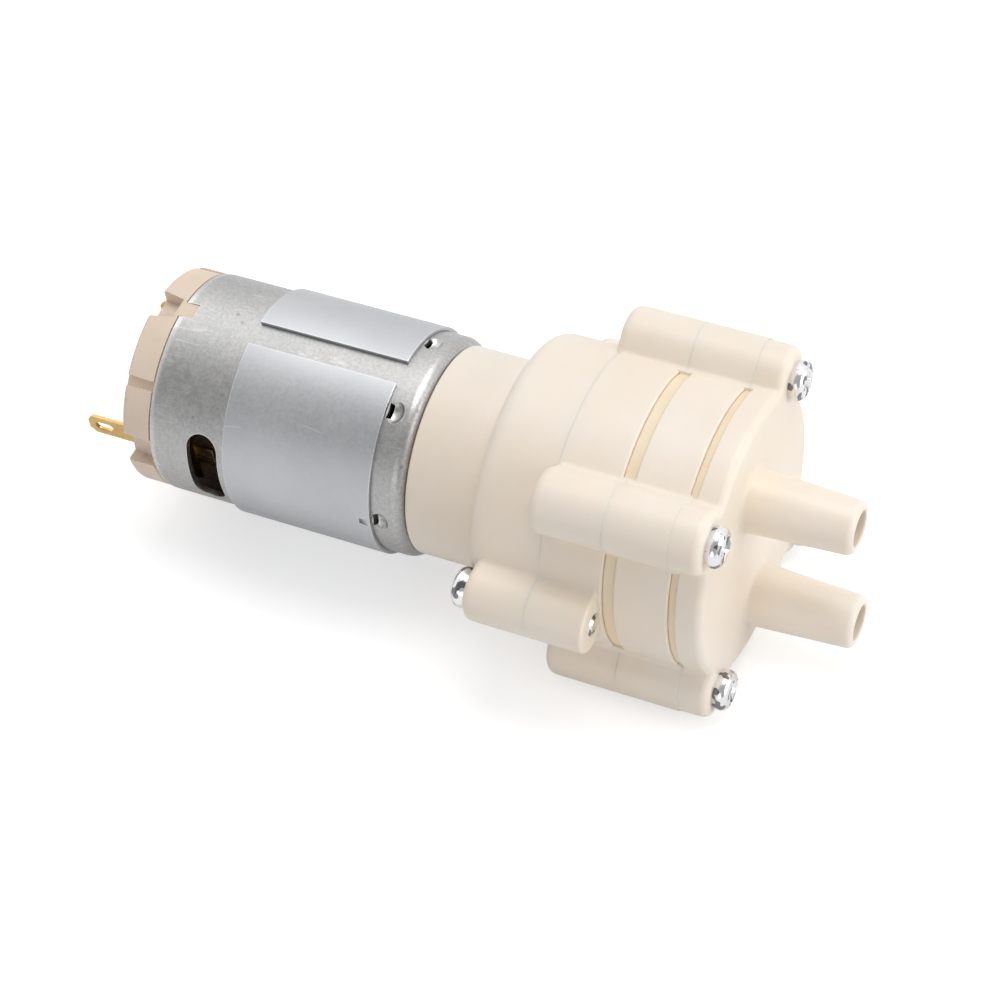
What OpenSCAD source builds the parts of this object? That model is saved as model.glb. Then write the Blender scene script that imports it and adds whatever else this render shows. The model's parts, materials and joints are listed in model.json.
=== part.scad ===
// Mini diaphragm pump: a round brushed motor that drives a wobble plate, three rubber cups and flap valves
// in a four-layer plastic head with two hose nozzles.
// The shaft runs along X. The nozzles point to +X and are stacked along Z.
// The origin is on the shaft axis, at the middle of the steel ring round the motor can.

/* [Motor can] */
// Outer diameter of the motor can
can_d = 27.7; // [26:0.1:30]
// Length of the can, from its open rim to its closed front
can_len = 34.3; // [31:0.1:38]
// Thickness of the can's steel
can_wall = 0.8; // [0.6:0.1:1]
// Rounding of the can's front shoulder
can_round = 1.6; // [1.2:0.1:2]
// Turn of the motor about its shaft, against the head
motor_turn = 3; // [-6:1:6]
// Distance from the steel ring to the can's closed front
ring_shoulder = 4.1; // [3.6:0.1:5]
// Thickness of the steel ring
ring_wall = 0.5; // [0.4:0.1:0.9]
// Distance from the can's rim to the ring
ring_setback = 10.4; // [10:0.1:12]
// Width of the ring's open gap
ring_gap_w = 3.3; // [2:0.1:6]
// Width of each vent slot, along the shaft
vent_w = 5.7; // [4:0.1:6]
// Length of each vent slot, across the shaft
vent_len = 13.2; // [10:0.1:14]

/* [Motor end] */
// How far the end bell stands behind the can
bell_depth = 3.8; // [3.4:0.1:5]
// How much smaller the end bell is than the can, all round
bell_inset = 0.35; // [0.2:0.05:0.6]
// Depth of the castle notches in the end bell
bell_notch = 1.4; // [0.8:0.1:1.8]
// Length of each solder tab behind the end bell
tab_len = 7.5; // [5:0.1:9]
// Width of each solder tab
tab_w = 3; // [2:0.1:3.6]
// Thickness of each solder tab
tab_t = 0.5; // [0.4:0.1:0.8]
// Distance from the can's inner wall to the middle of each solder tab
tab_inset = 3.15; // [2.9:0.05:3.6]

/* [Rotor] */
// Diameter of the motor shaft
shaft_d = 2.3; // [2:0.1:3]
// Thickness of the magnets
magnet_t = 2.6; // [2:0.1:3]
// Air gap between the magnets and the armature
air_gap = 0.73; // [0.4:0.01:1.2]
// Diameter of the commutator
comm_d = 6.8; // [6:0.1:7.4]
// Outer diameter of the drive hub
hub_d = 10; // [8:0.2:11]
// Gap between the drive hub and the wobble plate's sleeve
hub_room = 1.2; // [0.8:0.1:2]
// Diameter of the slanted drive pin
pin_d = 1.8; // [1.4:0.1:2.2]
// Slant of the drive pin to the shaft
pin_tilt = 9; // [6:0.5:10]

/* [Head] */
// Outer diameter of the head's layers
head_d = 35; // [33:0.1:38]
// How much smaller the neck is than the can, all round
neck_step = 0.9; // [0.4:0.1:1.4]
// Wall of the neck
neck_wall = 1.8; // [1.4:0.1:2.4]
// Length of the neck's straight part
neck_len = 7.5; // [6.8:0.1:8]
// Length of the rear housing, from the motor to its open front
rear_len = 19.4; // [19.2:0.1:21]
// Thickness of the cup housing
mid_len = 7.8; // [7.2:0.1:10]
// Thickness of the valve plate
plate_len = 6.7; // [6.4:0.1:9]
// Thickness of the front cover
cover_len = 3.4; // [3.2:0.1:5]
// Thickness of the diaphragm's clamped rim
flange_t = 1.5; // [1.2:0.1:2]
// Thickness of the seal under the front cover
seal_t = 0.9; // [0.7:0.1:1.5]
// Depth of the grooves where the rubber shows between the layers
groove_depth = 1.1; // [0.6:0.1:1.3]

/* [Nozzles] */
// Length of each nozzle in front of the cover
nozzle_len = 13.3; // [8:0.1:20]
// Diameter of each nozzle at its foot
nozzle_foot_d = 7.8; // [7:0.1:8.2]
// Diameter of each nozzle at its tip
nozzle_tip_d = 6.7; // [6.2:0.1:7]
// Diameter of the bore through each nozzle
nozzle_bore_d = 4.4; // [3:0.1:4.8]
// Distance between the two nozzles
nozzle_pitch = 17.5; // [17.3:0.1:17.8]
// Height of the outlet nozzle above the shaft
outlet_z = 7.6; // [7.3:0.1:7.8]
// Sideways offset of both nozzles
nozzle_y = -1; // [-1:0.1:1]

/* [Screws] */
// How far the four front screws lie outside the head's round edge
front_screw_out = 1.4; // [1:0.1:2.4]
// How far the two rear screws lie outside the head's round edge
rear_screw_out = 1.5; // [1:0.1:2.4]
// Length of the rear screws' bosses on the rear housing
rear_lug_len = 8.1; // [7:0.1:9]
// How far the front screws stay short of the cup housing's back
front_screw_stop = 5; // [3:0.1:6]
// Diameter of the screw bosses
lug_d = 8; // [7.4:0.1:8.4]
// Diameter of the screws' shanks
screw_d = 2.6; // [2.2:0.1:3]
// Rounding of the screw bosses' free ends
lug_round = 1.3; // [0.8:0.1:1.8]
// Fillet between a screw boss and the round layer
foot_fillet = 0.8; // [0.4:0.1:1]
// Diameter of the screws' heads
screw_head_d = 5; // [4.6:0.1:5.4]
// Height of the screws' heads
screw_head_h = 1.8; // [1.4:0.1:2.2]

/* [Diaphragm and valves] */
// Width of the clamped rim outside the cups
rim_land = 2.7; // [2.5:0.1:3.2]
// Outer diameter of each rubber cup
cup_d = 10.2; // [9.6:0.1:10.4]
// Thickness of each cup's wall
cup_wall = 0.9; // [0.6:0.1:1.2]
// Diameter of the rubber stems that the wobble plate pulls
stem_d = 3; // [2.4:0.1:3.2]
// Thickness of the wobble plate's arms
arm_t = 2.2; // [1.8:0.1:2.4]
// Width of the wobble plate's arms
arm_w = 4; // [3:0.1:5]
// Diameter of the inlet valves
inlet_valve_d = 5; // [4.6:0.1:5.4]
// Thickness of the rubber valves
valve_t = 0.5; // [0.4:0.1:0.8]

/* [Clearances] */
// Gap between pieces that are pressed or seated together
seat_gap = 0.02; // [0.01:0.01:0.05]
// Radial gap of a shaft or pin that turns in its bush
run_gap = 0.03; // [0.02:0.01:0.08]
// Gap between moving pieces that must not touch
free_gap = 0.3; // [0.25:0.05:0.4]
// Radial gap of a screw in a through hole
screw_gap = 0.2; // [0.1:0.05:0.3]

/* [Hidden] */

// Colours
steel = [0.72, 0.74, 0.76];
zinc = [0.80, 0.81, 0.83];
cream = [0.95, 0.91, 0.84];
rubber_yellow = [0.90, 0.82, 0.64];
bell_tan = [0.87, 0.78, 0.68];
brass = [0.86, 0.70, 0.35];
carbon = [0.20, 0.20, 0.21];
copper = [0.55, 0.25, 0.14];
magnet_grey = [0.26, 0.26, 0.28];
iron = [0.45, 0.46, 0.48];
bush_bronze = [0.62, 0.50, 0.34];
spacer_white = [0.88, 0.88, 0.86];

round_fn = 96;
small_fn = 48;
cut = 0.5; // how far a cutting shape reaches past what it cuts

// Stations along X, from the can's open rim to the nozzles' tips
ring_len = can_len - ring_setback - ring_shoulder;
can_back = -(ring_setback + ring_len / 2);
can_front = can_back + can_len;
bell_back = can_back - bell_depth;
rear_front = can_front + rear_len;
mid_front = rear_front + mid_len;
flange_front = mid_front + flange_t;
plate_front = flange_front + plate_len;
seal_front = plate_front + seal_t;
cover_front = seal_front + cover_len;
nozzle_tip = cover_front + nozzle_len;
lug_split_1 = mid_front + flange_t / 2;
lug_split_2 = plate_front + seal_t / 2;

// Radii
can_r = can_d / 2;
can_in_r = can_r - can_wall;
ring_in_r = can_r + seat_gap;
ring_r = ring_in_r + ring_wall;
shaft_r = shaft_d / 2;
comm_r = comm_d / 2;
hub_r = hub_d / 2;
pin_r = pin_d / 2;
head_r = head_d / 2;
neck_r = can_r - neck_step;
neck_in_r = neck_r - neck_wall;
groove_r = head_r - groove_depth;
lug_r = lug_d / 2;
screw_r = screw_d / 2;
cup_out_r = cup_d / 2;
cup_r = groove_r - cup_out_r - rim_land;
front_screw_r = head_r + front_screw_out;
rear_screw_r = head_r + rear_screw_out;
tab_y = can_in_r - tab_inset;
stem_r = stem_d / 2;
bore_r = nozzle_bore_d / 2;

// Motor front: a raised boss of the can holds the front bush
boss_r = 4.9;
boss_h = 2.5;
boss_gap = 0.15;
bush_len = 3.2;
rear_bush_r = 3;
rear_bush_len = 3;
rear_bush_in = 0.3;
web_t = 2.4;
motor_screw_r = 1.25;
motor_screw_grip = 2;
motor_screw_head_r = 2.2;
motor_screw_head_h = 1.4;
motor_screw_room = 0.95;
motor_screw_y = neck_in_r - motor_screw_head_r - motor_screw_room;

// Rim of the can and the keys of the end bell in it
rim_notch_w = 2.6;
rim_notch_len = 2.2;
tab_drop = 1;

// Motor inside, from the back to the front
magnet_arc = 124;
magnet_inset = 0.6;
front_room = 3.3;
magnet_back = magnet_inset - ring_len / 2;
magnet_front = can_front - front_room;
magnet_in_r = can_in_r - seat_gap - magnet_t;
core_r = magnet_in_r - air_gap;
pole_count = 5;
shoe_t = 1.4;
coil_end_len = 2.6;
coil_gap = 0.6;
comm_setback = 4.6;
comm_len = 4.6;
comm_back = can_back + comm_setback;
core_back = comm_back + comm_len + coil_gap + coil_end_len;
core_front = can_front - front_room - coil_end_len;

// Brushes and the leaf springs that carry them
leaf_setback = 3.1;
leaf_w = 3.4;
leaf_t = 0.35;
leaf_back = can_back + leaf_setback;
brush_len = 2.2;
brush_w = 2.8;
brush_face = comm_r + free_gap;

// Drive: the slanted pin's axis meets the shaft axis at the pivot, in the plane of the wobble plate
pivot_setback = 3.7;
pivot_x = rear_front - pivot_setback;
sleeve_wall = 1.6;
sleeve_r = pin_r + sleeve_wall;
sleeve_back = 4.6;
sleeve_nose = 1.7;
hub_setback = 0.6;
hub_back = can_front + boss_h + hub_setback;
hub_front = pivot_x - sleeve_back - hub_room;
pin_socket = 2.9;
pin_web = 0.3;
shaft_end = hub_front - pin_socket - pin_web;
nose_depth = 0.5;
cup_angles = [-90, 30, 150];
arm_eye_wall = 2;
arm_eye_r = stem_r + arm_eye_wall;

// Head inside
rear_wall = 2.3;
rear_in_r = head_r - rear_wall;
cup_bore_r = cup_out_r + free_gap;
chamber_r = cup_out_r - cup_wall + free_gap;
chamber_depth = 2.4;
valve_web = 2.1;
gallery_back = flange_front + chamber_depth + valve_web;
gallery_land = 2.1;
gallery_r = groove_r - gallery_land;
gallery_wall = 1.2;
port_r = 0.6;
port_inset = 0.15;
port_at = cup_r - chamber_r + port_r + port_inset;
outlet_lap = 0.25;
outlet_valve_r = port_at + port_r + outlet_lap;
outlet_room_gap = 0.5;
outlet_room_r = outlet_valve_r + outlet_room_gap;
outlet_neck_gap = 0.8;
outlet_neck_r = bore_r + outlet_neck_gap;
cover_room = 1.6;
inlet_shift = 1.6;
inlet_at = cup_r + inlet_shift;
inlet_hole_r = 0.5;
inlet_hole_at = 1.6;
valve_stem_r = 0.8;
edge_round = 1.1;
foot_depth = 1.6;
foot_inset = 0.05;
outlet_at = [nozzle_y, outlet_z];
inlet_nozzle_at = [nozzle_y, outlet_z - nozzle_pitch];
front_angles = [45, 135, 225, 315];
rear_angles = [0, 180];
rear_lug_back = rear_front - rear_lug_len;
rear_lug_front = mid_front;
front_screw_len = cover_front - rear_front - front_screw_stop;
rear_screw_tip = 0.3;
rear_screw_len = rear_lug_front - rear_lug_back + rear_screw_tip;

// Points of an arc about [cx, cy], from angle a0 to angle a1
function arc(cx, cy, r, a0, a1, n = 6) =
    [for (i = [0:n]) let (a = a0 + (a1 - a0) * i / n) [cx + r * cos(a), cy + r * sin(a)]];

// Place of a point at radius r and angle a about the shaft
function polar(r, a) = [r * cos(a), r * sin(a)];

// Flat shapes stand across the shaft: their x is Y, their y is Z, and their height runs along X
module across(x) {
    translate([x, 0, 0])
        rotate([90, 0, 90])
            children();
}

// A solid of revolution about the shaft, from [radius, x] points
module turned(points) {
    across(0)
        rotate_extrude($fn = round_fn)
            polygon(points);
}

// A tube or disc about the shaft, between two stations
module tube(x0, x1, r_out, r_in = 0) {
    across(x0)
        linear_extrude(x1 - x0)
            difference() {
                circle(r_out, $fn = round_fn);
                if (r_in > 0)
                    circle(r_in, $fn = round_fn);
            }
}

// A prism across the shaft, between two stations
module prism(x0, x1) {
    across(x0)
        linear_extrude(x1 - x0)
            children();
}

// The motor's own pieces turn with it about the shaft
module motor_pose() {
    rotate([motor_turn, 0, 0])
        children();
}

// The wobble plate's own frame: its origin is the pivot and its X is the slanted pin's axis
module pin_pose() {
    translate([pivot_x, 0, 0])
        rotate([0, pin_tilt, 0])
            children();
}

// A pan head screw with a cross recess: its shank points to -Z and its head stands on Z = 0
module pan_screw(shank_r, shank_len, head_r, head_h) {
    recess_w = head_r * 0.26;
    recess_len = head_r * 1.15;
    recess_depth = head_h * 0.6;
    dome_r = head_h * 0.65;
    rim_h = head_h - dome_r;
    difference() {
        rotate_extrude($fn = small_fn)
            polygon(concat(
                [[0, -shank_len], [shank_r * 0.4, -shank_len], [shank_r, -shank_len + shank_r]],
                [[shank_r, 0], [head_r, 0]],
                arc(head_r - dome_r, rim_h, dome_r, 0, 90),
                [[0, head_h]]
            ));
        for (turn = [0, 90])
            rotate([0, 0, turn])
                translate([-recess_len / 2, -recess_w / 2, head_h - recess_depth])
                    cube([recess_len, recess_w, recess_depth + cut]);
    }
}

// Side outline of half a boss of radius r, from its back to its front, as [radius, x] points
function lug_side(length, r, back_round, front_round) = concat(
    back_round > 0 ? arc(r - back_round, back_round, back_round, -90, 0) : [[r, 0]],
    front_round > 0 ? arc(r - front_round, length - front_round, front_round, 0, 90) : [[r, length]]
);

// A screw boss: a round post, a foot that runs into the round layer and a fillet at each side of it
module lug(x0, x1, reach, angle, back_round = 0, front_round = 0) {
    foot_len = front_round > 0 ? x1 - x0 - foot_inset : x1 - x0;
    post = lug_side(x1 - x0, lug_r, back_round, front_round);
    side = lug_side(foot_len, lug_r - foot_inset, back_round, front_round);
    foot_in_r = head_r - foot_depth;
    rotate([angle, 0, 0]) {
        translate([x0, reach, 0])
            rotate([0, 90, 0])
                rotate_extrude($fn = small_fn)
                    polygon(concat([[0, x1 - x0], [0, 0]], post));
        translate([x0, reach, 0])
            rotate([90, 0, 0])
                linear_extrude(reach - foot_in_r)
                    polygon(concat(
                        [for (p = side) [p[1], p[0]]],
                        [for (i = [len(side) - 1:-1:0]) [side[i][1], -side[i][0]]]
                    ));
        prism(x0 + back_round, x1 - front_round)
            foot_outline();
    }
}

// Outline of the fillets between a boss's sides and the round layer: they touch both on arcs
module foot_outline() {
    layer_r = head_r - foot_inset / 2;
    side_z = lug_r - foot_inset;
    fillet_y = sqrt(pow(layer_r + foot_fillet, 2) - pow(side_z + foot_fillet, 2));
    lean = atan((side_z + foot_fillet) / fillet_y);
    edge = arc(fillet_y, side_z + foot_fillet, foot_fillet, 270, 180 + lean);
    foot_in_r = head_r - foot_depth;
    polygon(concat(
        edge,
        [[foot_in_r, side_z], [foot_in_r, -side_z]],
        [for (i = [len(edge) - 1:-1:0]) [edge[i][0], -edge[i][1]]]
    ));
}

// What a boss may not reach into, round the rubber that shows between two layers
module rubber_room(x0, x1) {
    tube(x0, x1, groove_r + seat_gap);
}

// Holes for screws that run along X, at one radius and several angles
module screw_holes(x0, x1, reach, angles, r) {
    for (angle = angles)
        prism(x0, x1)
            translate(polar(reach, angle))
                circle(r, $fn = small_fn);
}

// Outline of the outlet room in the valve plate and cover: round over the valve, with a neck to the nozzle
module outlet_room(grow = 0) {
    circle(outlet_room_r + grow, $fn = round_fn);
    translate(outlet_at)
        circle(outlet_neck_r + grow, $fn = small_fn);
    translate([outlet_at[0] - outlet_neck_r - grow, 0])
        square([2 * (outlet_neck_r + grow), outlet_at[1]]);
}

// Outline of the wall between the inlet and outlet rooms, with the rib that ties it to the rim
module room_wall() {
    difference() {
        union() {
            outlet_room(gallery_wall);
            translate([outlet_at[0] - gallery_wall / 2, outlet_at[1]])
                square([gallery_wall, gallery_r - outlet_at[1] + 0.4]);
        }
        outlet_room();
    }
}

// Outline of the rooms that the wall leaves open
module rooms() {
    difference() {
        circle(gallery_r, $fn = round_fn);
        room_wall();
    }
}

module motor_can() {
    shaft_hole_r = shaft_r + 0.8;
    color(steel)
        motor_pose()
            difference() {
                turned(concat(
                    [[can_in_r, can_back], [can_r, can_back]],
                    arc(can_r - can_round, can_front - can_round, can_round, 0, 90),
                    [[boss_r, can_front], [boss_r, can_front + boss_h], [shaft_hole_r, can_front + boss_h]],
                    [[shaft_hole_r, can_front + boss_h - can_wall]],
                    [[boss_r - can_wall, can_front + boss_h - can_wall], [boss_r - can_wall, can_front - can_wall]],
                    arc(can_r - can_round, can_front - can_round, can_round - can_wall, 90, 0)
                ));
                for (side = [-1, 1])
                    can_vent(side);
                rim_notches();
                for (angle = [66, 114, 174, 6, -66, -114])
                    can_dent(angle);
                screw_holes(can_front - 2 * can_wall, can_front + cut, motor_screw_y, rear_angles,
                    motor_screw_r + seat_gap);
            }
}

// One vent slot through the can's side wall, at -Y or +Y
module can_vent(side) {
    ring_land = 1.1;
    vent_x = can_back + ring_setback - ring_land - vent_w / 2;
    translate([vent_x, side * can_r / 2, 0])
        rotate([-90 * side, 0, 0])
            linear_extrude(can_r) {
                square([vent_w, vent_len - vent_w], center = true);
                for (end = [-1, 1])
                    translate([0, end * (vent_len - vent_w) / 2])
                        circle(vent_w / 2, $fn = small_fn);
            }
}

// The two notches in the can's rim, at the top and the bottom, that key the end bell
module rim_notches() {
    for (angle = [90, 270])
        rotate([angle, 0, 0])
            translate([can_back - cut, can_in_r - cut, -rim_notch_w / 2])
                cube([rim_notch_len + cut, can_wall + 2 * cut, rim_notch_w]);
}

// A pressed dent in front of the ring, which keeps it and the magnets in place
module can_dent(angle) {
    dent_len = 1.2;
    dent_w = 1.4;
    dent_gap = 0.4;
    rotate([angle, 0, 0])
        translate([ring_len / 2 + dent_gap, can_in_r + can_wall / 2, -dent_w / 2])
            cube([dent_len, can_wall, dent_w]);
}

module flux_ring() {
    gap_at = 93.5;
    color(zinc)
        motor_pose()
            difference() {
                tube(-ring_len / 2, ring_len / 2, ring_r, ring_in_r);
                rotate([gap_at, 0, 0])
                    translate([-ring_len / 2 - cut, 0, -ring_gap_w / 2])
                        cube([ring_len + 2 * cut, can_d, ring_gap_w]);
            }
}

module magnets() {
    color(magnet_grey)
        motor_pose()
            prism(magnet_back, magnet_front)
                for (turn = [0, 180])
                    rotate(turn)
                        intersection() {
                            difference() {
                                circle(can_in_r - seat_gap, $fn = round_fn);
                                circle(magnet_in_r, $fn = round_fn);
                            }
                            polygon([[0, 0], polar(can_d, -magnet_arc / 2), polar(can_d, magnet_arc / 2)]);
                        }
}

// Spring wires that push the two magnets apart
module magnet_springs() {
    wire_r = 0.4;
    wire_gap = 0.05;
    wire_inset = 2;
    wire_at = can_in_r - seat_gap - wire_r - wire_gap;
    half_gap = 90 - magnet_arc / 2;
    slack = asin((wire_r + wire_gap) / wire_at);
    color(steel)
        motor_pose()
            for (turn = [90, 270])
                prism(magnet_back + wire_inset, magnet_front - wire_inset) {
                    for (side = [-1, 1])
                        translate(polar(wire_at, turn + side * (half_gap - slack)))
                            circle(wire_r, $fn = small_fn);
                }
}

module end_bell() {
    rim_r = can_r - bell_inset;
    plate_back = bell_back + 1;
    plate_front = plate_back + 2.3;
    rim_t = 2.6;
    rim_chamfer = 0.5;
    bush_wall = 1.5;
    spigot_len = 3;
    spigot_r = can_in_r - seat_gap;
    spigot_in_r = spigot_r - 1.2;
    notch_w = 2.6;
    key_notch_w = 3.6;
    side_notch_turn = 5;
    color(bell_tan)
        motor_pose()
            difference() {
                union() {
                    turned([
                        [rear_bush_r + seat_gap, bell_back], [rear_bush_r + bush_wall, bell_back],
                        [rear_bush_r + bush_wall, plate_back], [rim_r - rim_t, plate_back],
                        [rim_r - rim_t, bell_back], [rim_r - rim_chamfer, bell_back],
                        [rim_r, bell_back + rim_chamfer], [rim_r, can_back], [spigot_r, can_back],
                        [spigot_r, can_back + spigot_len], [spigot_in_r, can_back + spigot_len],
                        [spigot_in_r, plate_front], [rear_bush_r + seat_gap, plate_front]
                    ]);
                    bell_keys(rim_r);
                }
                for (angle = [45, 135, 225, 315])
                    bell_notch_cut(angle, notch_w);
                for (angle = rear_angles)
                    bell_notch_cut(angle + side_notch_turn, notch_w);
                for (angle = [90, 270])
                    bell_notch_cut(angle, key_notch_w);
                for (side = [-1, 1])
                    translate([bell_back - cut, side * tab_y - tab_t / 2 - seat_gap, -tab_drop - tab_w / 2 - seat_gap])
                        cube([bell_depth + spigot_len, tab_t + 2 * seat_gap, tab_w + 2 * seat_gap]);
            }
}

// Keys of the end bell that fill the notches in the can's rim
module bell_keys(rim_r) {
    key_w = rim_notch_w - 2 * seat_gap;
    key_root = 1;
    intersection() {
        for (angle = [90, 270])
            rotate([angle, 0, 0])
                translate([can_back - cut, can_in_r - key_root, -key_w / 2])
                    cube([rim_notch_len - seat_gap + cut, can_wall + key_root, key_w]);
        tube(can_back - cut, can_back + rim_notch_len, rim_r);
    }
}

// A castle notch in the end bell's rim
module bell_notch_cut(angle, width) {
    notch_stop = 0.6;
    rotate([angle, 0, 0])
        translate([bell_back - cut, can_r - bell_inset - bell_notch, -width / 2])
            cube([bell_depth + cut - notch_stop, can_r, width]);
}

module terminals() {
    hole_r = tab_w * 0.22;
    hole_half = tab_w * 0.2;
    tab_tip = bell_back - tab_len;
    hole_at = tab_tip + tab_w * 0.75;
    tip = 0.8;
    tab_front = leaf_back + leaf_w;
    color(brass)
        motor_pose()
            for (side = [-1, 1])
                translate([0, side * tab_y - tab_t / 2, -tab_drop])
                    rotate([90, 0, 0])
                        mirror([0, 0, 1])
                            linear_extrude(tab_t)
                                difference() {
                                    polygon([
                                        [tab_tip, tip - tab_w / 2], [tab_tip + tip, -tab_w / 2],
                                        [tab_front, -tab_w / 2], [tab_front, tab_w / 2],
                                        [tab_tip + tip, tab_w / 2], [tab_tip, tab_w / 2 - tip]
                                    ]);
                                    for (end = [-1, 1])
                                        translate([hole_at + end * hole_half, 0])
                                            circle(hole_r, $fn = small_fn);
                                    translate([hole_at - hole_half, -hole_r])
                                        square([2 * hole_half, 2 * hole_r]);
                                }
}

// One leaf spring: a flat leg on the solder tab, a bend and a pad behind the brush
module brush_leaf(arm_y, brush_back) {
    t = leaf_t;
    top = 5.5;
    bend = -5;
    foot = -2.4;
    polygon([
        [arm_y + t, top], [arm_y + t, bend - t], [brush_back, foot - t], [brush_back, brush_w / 2],
        [brush_back + t, brush_w / 2], [brush_back + t, foot], [arm_y, bend], [arm_y, top]
    ]);
}

module brush_arms() {
    color(brass)
        motor_pose()
            for (turn = [0, 180])
                rotate([turn, 0, 0])
                    prism(leaf_back, leaf_back + leaf_w)
                        brush_leaf(tab_y + tab_t / 2, brush_face + brush_len + seat_gap / 2);
}

module brushes() {
    brush_back = leaf_back + leaf_w / 2;
    color(carbon)
        motor_pose()
            for (turn = [0, 180])
                rotate([turn, 0, 0])
                    translate([brush_back, brush_face, -brush_w / 2])
                        cube([brush_w, brush_len, brush_w]);
}

module rear_bush() {
    color(bush_bronze)
        tube(bell_back + rear_bush_in, bell_back + rear_bush_in + rear_bush_len, rear_bush_r, shaft_r + run_gap);
}

module front_bush() {
    bush_front = can_front + boss_h - can_wall;
    color(bush_bronze)
        tube(bush_front - bush_len, bush_front - seat_gap, boss_r - can_wall - seat_gap, shaft_r + run_gap);
}

module motor_screws() {
    color(zinc)
        motor_pose()
            for (angle = rear_angles)
                across(can_front + web_t)
                    translate(polar(motor_screw_y, angle))
                        pan_screw(motor_screw_r, web_t + motor_screw_grip, motor_screw_head_r, motor_screw_head_h);
}

module motor_shaft() {
    color(steel)
        tube(bell_back + 2 * rear_bush_in, shaft_end, shaft_r);
}

// Outline of the armature's laminations: a round body with T-shaped poles
module core_shape() {
    slot_arc = 14;
    shoe_arc = 360 / pole_count - slot_arc;
    pole_w = 3.2;
    body_r = 4;
    difference() {
        union() {
            circle(body_r, $fn = small_fn);
            for (i = [0:pole_count - 1])
                rotate(i * 360 / pole_count) {
                    translate([0, -pole_w / 2])
                        square([core_r - shoe_t / 2, pole_w]);
                    intersection() {
                        difference() {
                            circle(core_r, $fn = round_fn);
                            circle(core_r - shoe_t, $fn = round_fn);
                        }
                        polygon([[0, 0], polar(can_d, -shoe_arc / 2), polar(can_d, shoe_arc / 2)]);
                    }
                }
        }
        circle(shaft_r + seat_gap, $fn = small_fn);
    }
}

module armature_core() {
    color(iron)
        prism(core_back, core_front)
            core_shape();
}

module windings() {
    coil_r = core_r - 2;
    coil_round = 1.5;
    coil_in_r = shaft_r + 1;
    slot_r = core_r - shoe_t - 0.2;
    color(copper) {
        prism(core_back, core_front)
            difference() {
                circle(slot_r, $fn = round_fn);
                circle(coil_in_r, $fn = small_fn);
                core_shape();
                circle(coil_in_r + 0.2, $fn = small_fn);
            }
        turned(concat(
            [[coil_in_r, core_back - coil_end_len]],
            arc(coil_r - coil_round, core_back - coil_end_len + coil_round, coil_round, -90, 0),
            [[coil_r, core_back], [coil_in_r, core_back]]
        ));
        turned(concat(
            [[coil_in_r, core_front], [coil_r, core_front]],
            arc(coil_r - coil_round, core_front + coil_end_len - coil_round, coil_round, 0, 90),
            [[coil_in_r, core_front + coil_end_len]]
        ));
    }
}

module commutator() {
    slit_w = 0.4;
    slit_depth = 0.7;
    riser_t = 0.8;
    riser_h = 0.9;
    comm_front = comm_back + comm_len;
    color(copper)
        difference() {
            union() {
                tube(comm_back, comm_front, comm_r, shaft_r + seat_gap);
                tube(comm_front - riser_t, comm_front, comm_r + riser_h, shaft_r + seat_gap);
            }
            for (i = [0:pole_count - 1])
                rotate([(i + 0.5) * 360 / pole_count, 0, 0])
                    translate([comm_back - cut, comm_r - slit_depth, -slit_w / 2])
                        cube([comm_len + 2 * cut, comm_r, slit_w]);
        }
}

module shaft_spacers() {
    spacer_r = shaft_r + 0.95;
    rear_bush_front = bell_back + rear_bush_in + rear_bush_len;
    color(spacer_white) {
        tube(rear_bush_front + free_gap, comm_back, spacer_r, shaft_r + seat_gap);
        tube(core_front, can_front + boss_h - can_wall - bush_len - free_gap, spacer_r, shaft_r + seat_gap);
    }
}

module drive_hub() {
    back_chamfer = 1;
    front_chamfer = 0.6;
    flat_back = hub_back + 2;
    flat_depth = 1.2;
    color(cream)
        difference() {
            turned([
                [shaft_r + seat_gap, hub_back], [hub_r - back_chamfer, hub_back], [hub_r, hub_back + back_chamfer],
                [hub_r, hub_front - front_chamfer], [hub_r - front_chamfer, hub_front], [0, hub_front],
                [0, shaft_end + seat_gap],
                [shaft_r + seat_gap, shaft_end + seat_gap]
            ]);
            pin_pose()
                tube(hub_front - pivot_x - pin_socket, 0, pin_r + seat_gap);
            // flat on the light side
            translate([flat_back, -hub_r, -hub_r - cut])
                cube([hub_front, hub_d, flat_depth + cut]);
        }
}

module drive_pin() {
    color(steel)
        pin_pose()
            tube(hub_front - pivot_x - pin_socket + seat_gap, nose_depth - free_gap, pin_r);
}

module wobble_plate() {
    half_t = arm_t / 2;
    nose_round = 1;
    rib_h = 1.2;
    rib_t = 1.2;
    root = 0.1; // how far the rib runs into the arm
    color(cream)
        pin_pose()
            difference() {
                union() {
                    turned(concat(
                        [[0, -sleeve_back], [sleeve_r, -sleeve_back], [sleeve_r, sleeve_nose - nose_round]],
                        arc(sleeve_r - nose_round, sleeve_nose - nose_round, nose_round, 0, 90),
                        [[0, sleeve_nose]]
                    ));
                    for (angle = cup_angles)
                        prism(-half_t, half_t)
                            rotate(angle) {
                                translate([cup_r, 0])
                                    circle(arm_eye_r, $fn = small_fn);
                                translate([0, -arm_w / 2])
                                    square([cup_r, arm_w]);
                            }
                    // stiffening rib on the motor side of each arm
                    for (angle = cup_angles)
                        prism(-half_t - rib_h, -half_t + root)
                            rotate(angle)
                                translate([0, -rib_t / 2])
                                    square([cup_r - arm_eye_r + 4 * root, rib_t]);
                }
                tube(-sleeve_back - cut, nose_depth, pin_r + run_gap);
                for (angle = cup_angles)
                    prism(-half_t - cut, half_t + cut)
                        translate(polar(cup_r, angle))
                            circle(stem_r + free_gap, $fn = small_fn);
            }
}

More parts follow.
